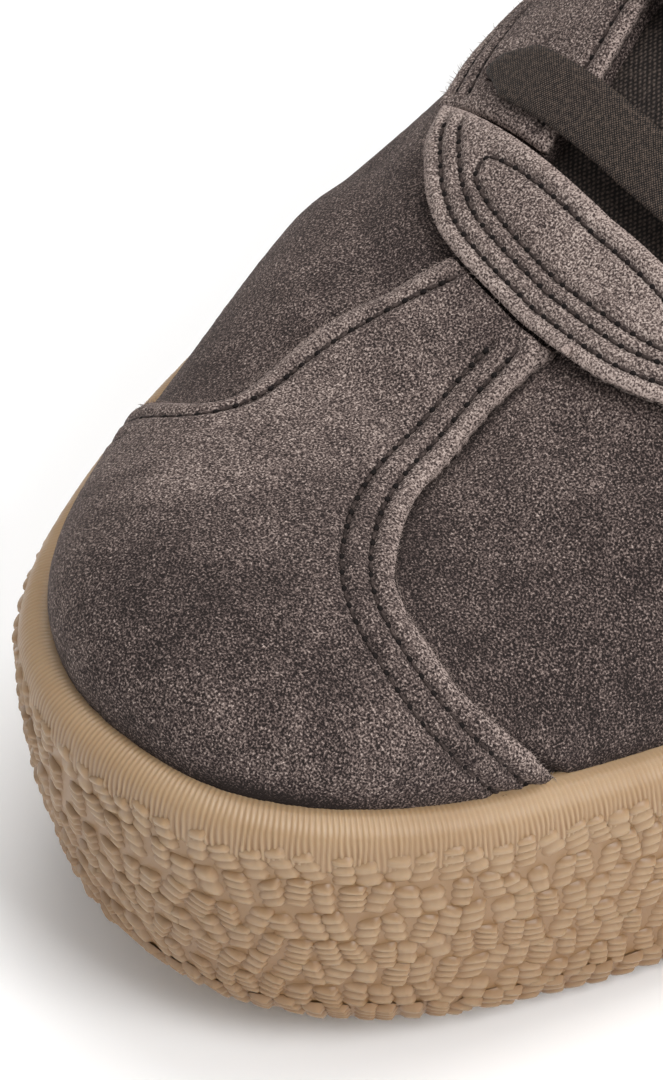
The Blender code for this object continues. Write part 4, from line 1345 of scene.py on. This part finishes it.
@dataclass
class Upper:
    """Suede upper: side panels of one hide, with what is sewn on top of it."""

    wall_depth: float = 2.2 * MM
    front_cell: float = 0.200
    across: int = 640
    along: int = 92
    tuck_rows: int = 4
    nap_size: float = 0.9 * MM
    nap_depth: float = 0.07 * MM
    tucked_under: float = 9 * MM
    rim_lift: float = 1.5 * MM
    rim_reach: float = 4 * MM
    shell_tone: float = -0.065
    toe_reach: float = 0.135
    toe_cells: tuple[int, int] = (540, 130)
    toe_rows: tuple[float, float] = (3.0 * MM, 6.3 * MM)
    far_row_from: float = 22 * MM
    seam_step: float = 0.4 * MM
    fringe_inset: float = 0.15 * MM
    bar_lift: float = 1.0 * MM
    bar_depth: float = 2.5 * MM
    bar_rows: tuple[float, float] = (2.0 * MM, 4.2 * MM)
    bar_reach: float = 36 * MM
    bar_cell: float = 0.36 * MM
    bar_tone: float = 0.075
    leg_rows: tuple[tuple[str, float], ...] = (
        ("outer", -2.4 * MM), ("outer", -4.9 * MM), ("inner", 2.6 * MM))
    leg_row_end: float = 1.2 * MM
    leg_reach: tuple[float, float] = (11 * MM, 42 * MM)
    leg_back: float = 0.1475
    leg_cell: float = 0.5 * MM
    leg_tone: float = 0.01
    edge_drop: float = 0.45 * MM
    edge_round: float = 0.7 * MM
    edge_tone: float = 0.06
    seam_drop: float = 0.42 * MM
    seam_round: float = 0.55 * MM
    seam_swell: float = 0.10 * MM

    def build(self) -> None:
        """Make the upper and its overlays."""
        self.suede = Suede().build()
        self.lining = Woven("collar_lining", "#26211f", "#4a423e", 0.5).build()
        self.shell()
        self.toe_piece()
        self.throat_bar()
        for side in Side:
            self.leg(side)

    def shell(self) -> None:
        """Make the hollow hide, open at the collar, the throat and underneath."""
        half = LAST.run[LAST.stations + 1]

        def move(across: np.ndarray, along: np.ndarray) -> np.ndarray:
            """Send shares around and up to the skin, denser at the toe."""
            q = across * 2 - 1
            run = self.front_cell * q + (half - self.front_cell) * q**3
            tuck = self.tuck_rows / self.along
            row = np.where(along < tuck, along / tuck - 1, (along - tuck) / (1 - tuck))
            return LAST.at(LAST.paired(run), row)

        shape = moved_grid(self.across, self.along, move)
        face_up(shape)
        points = points_of(shape)
        height = points[:, 2] - LAST.rim(points[:, 1])
        full = bump(height, 1 * MM + np.where(height > 0, self.rim_reach, 0))
        full *= np.clip(-toe_level(points) / (2 * MM), 0, 1)
        lift = self.rim_lift * full - UPPER_INSET
        offset(shape, lift + creased(points) + nap(points, self.nap_size, self.nap_depth))
        bmesh.ops.triangulate(shape, faces=shape.faces)
        trim(shape, lambda p: self.tucked_under - toe_level(p))
        trim(shape, lambda p: -throat_level(p, "inner"))
        trim(shape, collar_level)
        trim(shape, HOLES.level)
        points = points_of(shape)
        values = {
            "edge": np.zeros(len(points)),
            # Painted shadow along the toe piece's edge on the hide beneath it
            "groove": 0.6 * bump(np.abs(toe_level(points)), 0.6 * MM),
            "brushed": NapAndRimShade.at(points, self.shell_tone),
        }
        made = finished("suede_upper", shape, [self.suede, self.lining], values)
        wall(made, self.wall_depth, 1)
        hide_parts("upper")

    def dressed(self, shape: bmesh.types.BMesh, name: str, lift: float, depth: float,
                edge: np.ndarray, rows: Sequence[np.ndarray], node_name: str,
                tone: float) -> bpy.types.Object:
        """Round an overlay's cut edge, sink its seams and make its object.

        Args:
            shape: The trimmed sheet on the skin.
            name: The piece's name.
            lift: Height of its top above the last's skin.
            depth: Its thickness.
            edge: Points of its cut edge.
            rows: Its stitched rows.
            node_name: The CAD node that it stands for.
            tone: How much lighter its nap lies.

        Returns:
            The piece.
        """
        points = points_of(shape)
        gap = nearest_on(points, edge)[1]
        seam = nearest_on(points, np.vstack(rows))[1]
        height = lift - self.edge_drop * bump(gap, self.edge_round)
        height -= self.seam_drop * bump(seam, self.seam_round)
        height += creased(points) + nap(points, self.nap_size, self.nap_depth)
        height += self.seam_swell * bump(seam - 1.3 * MM, 0.8 * MM)
        offset(shape, height)
        values = {
            "edge": bump(gap, 0.55 * MM),
            # Painted shade along the sunk stitched rows
            "groove": 0.55 * bump(seam, 0.42 * MM),
            "brushed": NapAndRimShade.at(points, tone) + self.edge_tone * bump(gap, 2.5 * MM),
        }
        made = finished(name, shape, [self.suede], values)
        wall(made, depth)
        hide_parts(node_name)
        return made

    def toe_piece(self) -> None:
        """Make the cap over the toes with its stem, and sew it down."""

        def move(across: np.ndarray, along: np.ndarray) -> np.ndarray:
            """Send shares around the toe and up to the skin."""
            return LAST.at(LAST.paired((across * 2 - 1) * self.toe_reach), along)

        shape = moved_grid(*self.toe_cells, move)
        face_up(shape)
        bmesh.ops.triangulate(shape, faces=shape.faces)
        cut = trim(shape, toe_level)
        seams = [self.seam_line(cut, side) for side in Side]
        rows = [self.beside(line, side, inset) for line, side in zip(seams, Side)
                for inset in self.toe_rows]
        rows[-1] = rows[-1][FRONT_MIDDLE - rows[-1][:, 0] > self.far_row_from]
        self.dressed(shape, "suede_toe_piece", 0.0, OVERLAY - 0.1 * MM, np.vstack(seams), rows,
                     "toe_overlay", 0.0)
        sew("thread_toe_seams", rows, 0.0)
        fringe("fibres_toe_seams", seams, 0.0)

    def seam_line(self, cut: np.ndarray, side: Side) -> np.ndarray:
        """Put a seam's cut points in order from the rim to the throat bar.

        Args:
            cut: The points on the cut edge.
            side: Which side of the foot.

        Returns:
            Evenly spaced points.
        """
        rows = seam_side(side) * [side.value, 1] + [FRONT_MIDDLE, 0]
        near = np.linalg.norm(cut[:, None, :2] - rows[None], axis=2)
        own = cut[(near.min(axis=1) < 1.7 * MM) & ((cut[:, 0] - FRONT_MIDDLE) * side.value > 0)]
        run = run_along(rows)
        nearest = np.linalg.norm(own[:, None, :2] - rows[None], axis=2).argmin(axis=1)
        own = own[np.argsort(run[nearest] + own[:, 2])]
        return resample(smoothed(resample(own, 0.8 * MM), 12), self.seam_step)

    def beside(self, line: np.ndarray, side: Side, inset: float) -> np.ndarray:
        """Return a line on the skin that runs beside another, inside the toe piece."""
        found = []
        along = np.gradient(smoothed(line, 20), axis=0)
        for point, step in zip(line[2:], along[2:]):
            _, normal = LAST.nearest(point)
            inward = normal.cross(Vector(step)).normalized() * side.value
            found.append(LAST.nearest(Vector(point) + inward * inset)[0])
        return resample(smoothed(np.array(found), 30), 0.3 * MM)

    def from_plan(self, low: tuple[float, float], high: tuple[float, float],
                  cell: float) -> bmesh.types.BMesh:
        """Drop a flat grid onto the skin.

        Args:
            low: Lowest x and d.
            high: Highest x and d.
            cell: Size of a cell.

        Returns:
            The triangulated sheet on the skin.
        """
        span = (high[0] - low[0], high[1] - low[1])

        def move(across: np.ndarray, along: np.ndarray) -> np.ndarray:
            """Send shares of the rectangle down to the skin."""
            return LAST.dropped(np.column_stack([low[0] + across * span[0], low[1] + along * span[1]]))

        shape = moved_grid(int(span[0] / cell), int(span[1] / cell), move)
        face_up(shape)
        bmesh.ops.triangulate(shape, faces=shape.faces)
        return shape

    def throat_bar(self) -> None:
        """Make the doubled D-shaped piece in front of the throat, with its two rows."""
        wide = self.bar_reach
        shape = self.from_plan((FRONT_MIDDLE - wide, LAST.throat_front - BAR_DEPTH - 1 * MM),
                               (FRONT_MIDDLE + wide, LAST.throat_front + 1 * MM), self.bar_cell)
        cut = trim(shape, lambda p: bar_level(p, 0.0))
        rows = [self.plan_row(inset) for inset in self.bar_rows]
        rows.append(self.small_d())
        self.dressed(shape, "suede_throat_bar", self.bar_lift, self.bar_depth, cut, rows, "throat_bar",
                     self.bar_tone)
        sew("thread_throat_bar", rows, self.bar_lift)
        fringe("fibres_throat_bar", [self.plan_row(self.fringe_inset)], self.bar_lift - 0.2 * MM)

    def plan_row(self, inset: float) -> np.ndarray:
        """Return a stitched row inside the bar's front edge, from side to side."""
        edge = both_sides(bar_front(0.0)[:-1], 0.0)
        run = np.gradient(edge, axis=0)
        run /= np.linalg.norm(run, axis=1)[:, None]
        inner = edge + np.column_stack([run[:, 1], -run[:, 0]]) * inset
        keep = inner[:, 1] < LAST.throat_front - 1.0 * MM
        inner = smoothed(inner[keep], 6)
        return LAST.dropped(resample(inner, self.seam_step) + [FRONT_MIDDLE, 0])

    def small_d(self) -> np.ndarray:
        """Return the closed row that holds the bar's doubled middle."""
        rows = np.array([
            (0.0165, 0.0766), (0.0195, 0.0758), (0.0188, 0.0737), (0.0150, 0.0722),
            (0.0090, 0.0713), (0.0, 0.0709), (-0.0090, 0.0713), (-0.0150, 0.0722),
            (-0.0188, 0.0737), (-0.0195, 0.0758), (-0.0165, 0.0766), (0.0, 0.0770),
        ])
        line = closed_curve(rows, 160)
        line = np.vstack([line, line[:1]])
        return LAST.dropped(resample(line, self.seam_step) + [FRONT_MIDDLE, 0])

    def leg(self, side: Side) -> None:
        """Make one leg of the eyestay with a row of stitches along each edge."""
        near, far = (THROAT_MIDDLE + side.value * reach for reach in self.leg_reach)
        start = GAP / THROAT_LENGTH
        shape = self.from_plan((min(near, far), LAST.throat_front), (max(near, far), self.leg_back),
                               self.leg_cell)

        def level(points: np.ndarray) -> np.ndarray:
            """Return how far points lie inside the leg."""
            legs = np.minimum(throat_level(points, "outer", start), -throat_level(points, "inner"))
            return np.minimum(legs, collar_level(points))

        cut = trim(shape, level)
        trim(shape, HOLES.level)
        rows = []
        for column, inset in self.leg_rows:
            points = self.along_leg(side, column, inset)
            rows.append(points[level(points) > self.leg_row_end])
        name = side.name.lower()
        self.dressed(shape, f"suede_leg_{name}", 0.0, OVERLAY - 0.1 * MM, cut, rows, f"eyestay_{name}",
                     self.leg_tone)
        sew(f"thread_leg_{name}", rows, 0.0)
        outer = self.along_leg(side, "outer", -self.fringe_inset)
        fringe(f"fibres_leg_{name}", [outer[level(outer) > 0]], 0.0)

    def along_leg(self, side: Side, column: str, inset: float) -> np.ndarray:
        """Return a line on the skin beside one edge of a leg.

        Args:
            side: Which side of the foot.
            column: The THROAT table's column for the edge.
            inset: How far the line is moved outwards, inwards where it is negative.

        Returns:
            Evenly spaced points.
        """
        line = (throat_side(column, 0.03) + [inset, 0]) * [side.value, 1] + [THROAT_MIDDLE, 0]
        return LAST.dropped(resample(line, self.seam_step))


STITCH_LENGTH, STITCH_GAP = 1.75 * MM, 0.65 * MM
STITCH_SIZE = Vector((0.25 * MM, 0.80 * MM, 0.20 * MM))
# Size and sinking of each dark blob painted as the shade inside a needle hole
HOLE_SIZE = Vector((0.36 * MM, 0.42 * MM, 0.22 * MM))
STITCH_SUNK, HOLE_SUNK = 0.27 * MM, 0.33 * MM
FIBRE_PITCH = 0.26 * MM
FIBRE_ROOT = 0.35 * MM
FIBRE_THICK = (0.035, 0.07)
FIBRE_LONG = (0.30, 0.80)


def sew(name: str, rows: Sequence[np.ndarray], lift: float) -> None:
    """Lay stitches along rows, each between two dark blobs of painted shade that stand for needle holes.

    Args:
        name: The piece's name.
        rows: Lines on the last's skin.
        lift: Height of the sewn surface above the skin.
    """
    templates = []
    for number in range(2):
        shape = bmesh.new()
        bmesh.ops.create_uvsphere(shape, u_segments=6, v_segments=5, radius=1.0)
        bmesh.ops.rotate(shape, matrix=Matrix.Rotation(math.pi / 2, 3, "X"), verts=shape.verts)
        for face in shape.faces:
            face.material_index = number
        templates.append(kept_mesh(shape, "stitch_shape"))
    sizes, sunk = (STITCH_SIZE, HOLE_SIZE), (STITCH_SUNK, HOLE_SUNK)
    places = []
    for row in rows:
        line = resample(row, (STITCH_LENGTH + STITCH_GAP) / 4)
        for i in range(2, len(line) - 2, 2):
            kind = i // 2 % 2
            point, along = Vector(line[i]), Vector(line[i + 1] - line[i - 1])
            _, normal = LAST.nearest(point)
            place = point + normal * (lift - sunk[kind])
            places.append((kind, facing(place, normal, along, sizes[kind])))
    made = planted(templates, places)
    for shape in templates:
        bpy.data.meshes.remove(shape)
    finished(name, made, [THREAD, NEEDLE_HOLE_SHADE])


def fringe(name: str, edges: Sequence[np.ndarray], lift: float) -> None:
    """Plant loose curved fibres along raw cut edges.

    Args:
        name: The piece's name.
        edges: Lines on the last's skin.
        lift: Height of the cut above the skin.
    """

    def move(across: np.ndarray, along: np.ndarray) -> np.ndarray:
        """Bend a flat grid to a thin curved blade, one unit long."""
        angle = across * 2 * math.pi
        thick = 1 - 0.8 * along
        return np.column_stack([thick * np.cos(angle), thick * np.sin(angle) + 5 * along**2, along])

    blade = kept_mesh(moved_grid(3, 3, move), "blade_shape")
    draw = random.Random(len(name))
    places = []
    for edge in edges:
        for i, point in enumerate(resample(edge, FIBRE_PITCH)[1:-1]):
            _, normal = LAST.nearest(point)
            lean = Vector((draw.gauss(0, 1), draw.gauss(0, 1), draw.gauss(0, 1)))
            up = (normal * 0.9 + lean * 0.75).normalized()
            thick = draw.uniform(*FIBRE_THICK) * MM
            size = Vector((thick, thick, draw.uniform(*FIBRE_LONG) * MM))
            spot = Vector(point) + normal * (lift - FIBRE_ROOT)
            places.append((0, facing(spot, up, lean.cross(up), size)))
    made = planted([blade], places)
    bpy.data.meshes.remove(blade)
    finished(name, made, [FIBRE])


THREAD = Thread().build()
# Near-black blobs of painted shade standing for the inside of the needle holes
NEEDLE_HOLE_SHADE = Thread("needle_hole", "#0e0a09", "#191312").build()
FIBRE = Thread("hide_fibre", "#5d514c", "#a3938b").build()


Knot = tuple[np.ndarray, np.ndarray, float]
ACROSS, ALONG = np.array([1.0, 0.0, 0.0]), np.array([0.0, 1.0, 0.0])


@dataclass
class Lace:
    """One flat lace: bars on top, hidden runs beneath, ends at the top eyelets."""

    half_width: float = 4.0 * MM
    half_depth: float = 0.65 * MM
    hidden_half: float = 2.6 * MM
    neck_half: float = 1.9 * MM
    top_lift: float = 0.95 * MM
    end_drop: float = 0.5 * MM
    end_inset: float = 1.2 * MM
    hidden_depth: float = 5.4 * MM
    hole_depths: tuple[float, float, float] = (5.2 * MM, 3.0 * MM, 0.4 * MM)
    section: int = 16
    step: float = 0.7 * MM

    def knots(self) -> list[Knot]:
        """Return the route's points, the directions across the lace and its half widths."""
        holes = {(side, i // 2): (point, normal) for i, (side, point, normal) in enumerate(HOLES.places())}
        near, far = Side.LATERAL, Side.MEDIAL
        knots: list[Knot] = []
        for number, after, start, end in ((3, 1, near, far), (1, 0, far, near), (0, 2, near, far),
                                          (2, 3, far, near)):
            knots += self.through(*holes[start, number])
            hole = holes[start, number][0]
            out = abs(hole[0] - THROAT_MIDDLE)
            for share in np.linspace(-1, 1, 15):
                x = THROAT_MIDDLE + end.value * share * (out - self.end_inset)
                point, face = LAST.down(x, hole[1])
                slope = np.array(Vector((0, face.z, -face.y)).normalized())
                end_in = np.clip((1 - abs(share)) / 0.07, 0, 1)
                half = self.neck_half + (self.half_width - self.neck_half) * end_in ** 0.7
                lift = self.top_lift - self.end_drop * (1 - end_in)
                knots.append((np.array(point + face * lift), slope, half))
            knots += self.through(*holes[end, number])[::-1]
            hole, normal = (np.array(v) for v in holes[end, number])
            middle = (hole + np.array(holes[end, after][0])) / 2 - normal * self.hidden_depth
            knots.append((middle, ACROSS, self.hidden_half))
        return knots

    def through(self, centre: Vector, axis: Vector) -> list[Knot]:
        """Return the knots of the lace's way through a hole, deepest first."""
        deep, neck, mouth = (np.array(centre) - np.array(axis) * depth for depth in self.hole_depths)
        return [
            (deep + ALONG * 1.5 * MM, ACROSS, self.hidden_half),
            (neck, ALONG, self.neck_half),
            (mouth, ALONG, self.neck_half),
        ]

    def build(self) -> None:
        knots = self.knots()
        route = np.array([k[0] for k in knots])
        run = run_along(route)
        at = np.linspace(0, run[-1], int(run[-1] / self.step))
        line = smoothed(np.column_stack([np.interp(at, run, c) for c in route.T]), 5)
        wide = smoothed(np.column_stack(
            [np.interp(at, run, c) for c in np.array([k[1] for k in knots]).T]), 3)
        half = np.interp(at, run, [k[2] for k in knots])
        forward = np.gradient(line, axis=0)
        forward /= np.linalg.norm(forward, axis=1)[:, None]
        wide -= forward * (wide * forward).sum(axis=1)[:, None]
        wide /= np.linalg.norm(wide, axis=1)[:, None]
        up = np.cross(wide, forward)
        area = self.half_width * self.half_depth
        deep = np.clip(area / half, self.half_depth, 1.5 * MM)
        total = run_along(line)
        count = len(line) - 1

        def move(across: np.ndarray, along: np.ndarray) -> np.ndarray:
            """Send shares along and around the section to the lace."""
            i = np.round(across * count).astype(int)
            angle = along * 2 * math.pi
            c, s = np.cos(angle), np.sin(angle)
            x = np.sign(c) * np.abs(c) ** 0.55 * half[i]
            z = np.sign(s) * np.abs(s) ** 0.75 * deep[i]
            return line[i] + wide[i] * x[:, None] + up[i] * z[:, None]

        shape = moved_grid(count, self.section, move)
        bmesh.ops.holes_fill(shape, edges=[e for e in shape.edges if e.is_boundary])
        bmesh.ops.recalc_face_normals(shape, faces=shape.faces)
        points = points_of(shape)
        nearest = nearest_on(points, line)[0]
        gap = points - line[nearest]
        weave = np.column_stack([total[nearest] + (gap * forward[nearest]).sum(axis=1),
                                 (gap * wide[nearest]).sum(axis=1), np.zeros(len(points))])
        finish = Woven("lace_weave", "#15100e", "#625349", 0.30, 0.75, True).build()
        made = finished("lace", shape, [finish], {"weave": weave})
        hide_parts(*[f"lace_bar_{number}" for number in range(1, 5)])
        LOG.info("lace: %.3f m long", total[-1])


def swollen(source: str, name: str, voxel: float, pressure: float, cap: float) -> bpy.types.Object:
    """Puff a CAD solid up as padded cloth.

    Args:
        source: The CAD node whose shape the pad starts from.
        name: The new piece's name.
        voxel: Cell size of the remeshed cloth.
        pressure: Pressure inside the pad.
        cap: How far a point may move.

    Returns:
        The pad, its simulation applied.
    """
    shape = bmesh.new()
    shape.from_mesh(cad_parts[source].data)
    bmesh.ops.remove_doubles(shape, verts=shape.verts, dist=0.02 * MM)
    bmesh.ops.recalc_face_normals(shape, faces=shape.faces)
    bmesh.ops.transform(shape, matrix=PLACE.inverted(), verts=shape.verts)
    made = finished(name, shape, [])
    bpy.context.view_layer.objects.active = made
    remesh = made.modifiers.new("Remesh", "REMESH")
    remesh.mode = "VOXEL"
    remesh.voxel_size = voxel
    bpy.ops.object.modifier_apply(modifier=remesh.name)
    rest = np.array([v.co for v in made.data.vertices])
    cloth = made.modifiers.new("Cloth", "CLOTH")
    cloth.settings.use_pressure = True
    cloth.settings.uniform_pressure_force = pressure
    cloth.settings.effector_weights.gravity = 0.0
    for number in range(1, 21):
        bpy.context.scene.frame_set(number)
    bpy.ops.object.modifier_apply(modifier=cloth.name)
    bpy.context.scene.frame_set(1)
    now = np.array([v.co for v in made.data.vertices])
    step = now - rest
    far = np.linalg.norm(step, axis=1)[:, None]
    now = rest + step * np.minimum(1, cap / np.maximum(far, 1e-9))
    made.data.vertices.foreach_set("co", now.ravel())
    smooth = made.modifiers.new("Smooth", "SUBSURF")
    smooth.levels = smooth.render_levels = 1
    return made


def soft_parts() -> None:
    """Make the padded tongue and dress the insole."""
    tongue = swollen("tongue", "padded_tongue", 2.6 * MM, 2.0, 1.2 * MM)
    tongue.data.materials.append(Woven("tongue_cloth", "#1a1513", "#514640", 0.55).build())
    tongue.data.shade_smooth()
    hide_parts("tongue")
    dress_node("insole", Foam().build())


@dataclass
class Studio:
    """Pale floor, soft lights and the camera at the photograph's angle."""

    azimuth: float = 55.0
    elevation: float = 42.0
    distance: float = 0.8245
    lens: float = 235.2
    target: tuple[float, float, float] = (-0.0040, 0.0414, 0.0388)

    # Name, azimuth and elevation in degrees, distance and size in metres, watts
    lamps: tuple[tuple, ...] = (
        ("key", 100.0, 42.0, 1.1, 0.50, 9.0),
        ("top", 200.0, 75.0, 1.2, 0.8, 9.5),
        ("fill", -20.0, 35.0, 1.4, 0.9, 0.5),
    )
    air: float = 0.55

    def aimed(self, name: str, kind: bpy.types.ID, azimuth: float, elevation: float,
              away: float) -> bpy.types.Object:
        """Stand a light or a camera around the shoe, looking at it.

        Args:
            name: The object's name.
            kind: The light's or camera's data.
            azimuth: Its direction in degrees, from the toe to the inner side.
            elevation: Its height in degrees.
            away: Its distance.

        Returns:
            The new object.
        """
        made = bpy.data.objects.new(name, kind)
        a, e = math.radians(azimuth), math.radians(elevation)
        back = Vector((math.sin(a) * math.cos(e), -math.cos(a) * math.cos(e), math.sin(e)))
        made.location = PLACE @ Vector(self.target) + back * away
        made.rotation_euler = back.to_track_quat("Z", "Y").to_euler()
        bpy.context.scene.collection.objects.link(made)
        return made

    def build(self) -> None:
        """Make the stage, the lights and the camera."""
        scene = bpy.context.scene
        shape = bmesh.new()
        bmesh.ops.create_grid(shape, x_segments=1, y_segments=1, size=6.0)
        floor = kept_mesh(shape, "floor")
        ground = bpy.data.objects.new("floor", floor)
        scene.collection.objects.link(ground)
        floor.materials.append(shaded(started("white_paper")[0], {}, {
            "Base Color": linear("#fafafa"), "Roughness": 0.9}))
        world = bpy.data.worlds.new("studio")
        world.use_nodes = True
        background = world.node_tree.nodes["Background"].inputs
        background["Color"].default_value = (1.0, 1.0, 1.0, 1.0)
        background["Strength"].default_value = self.air
        scene.world = world
        for name, azimuth, elevation, away, size, power in self.lamps:
            light = bpy.data.lights.new(name, "AREA")
            light.size = size
            light.energy = power
            self.aimed(name, light, azimuth, elevation, away)
        lens = bpy.data.cameras.new("camera")
        lens.lens = self.lens
        lens.clip_start = 0.01
        scene.camera = self.aimed("camera", lens, self.azimuth, self.elevation, self.distance)
        scene.view_settings.view_transform = "Standard"


def main() -> None:
    """Build the shoe around its frame and set the studio."""
    logging.basicConfig(level=logging.INFO, format="%(name)s: %(message)s")
    Studio().build()
    Lace().build()
    GumCup().build()
    Upper().build()
    soft_parts()


if __name__ == "__main__":
    main()
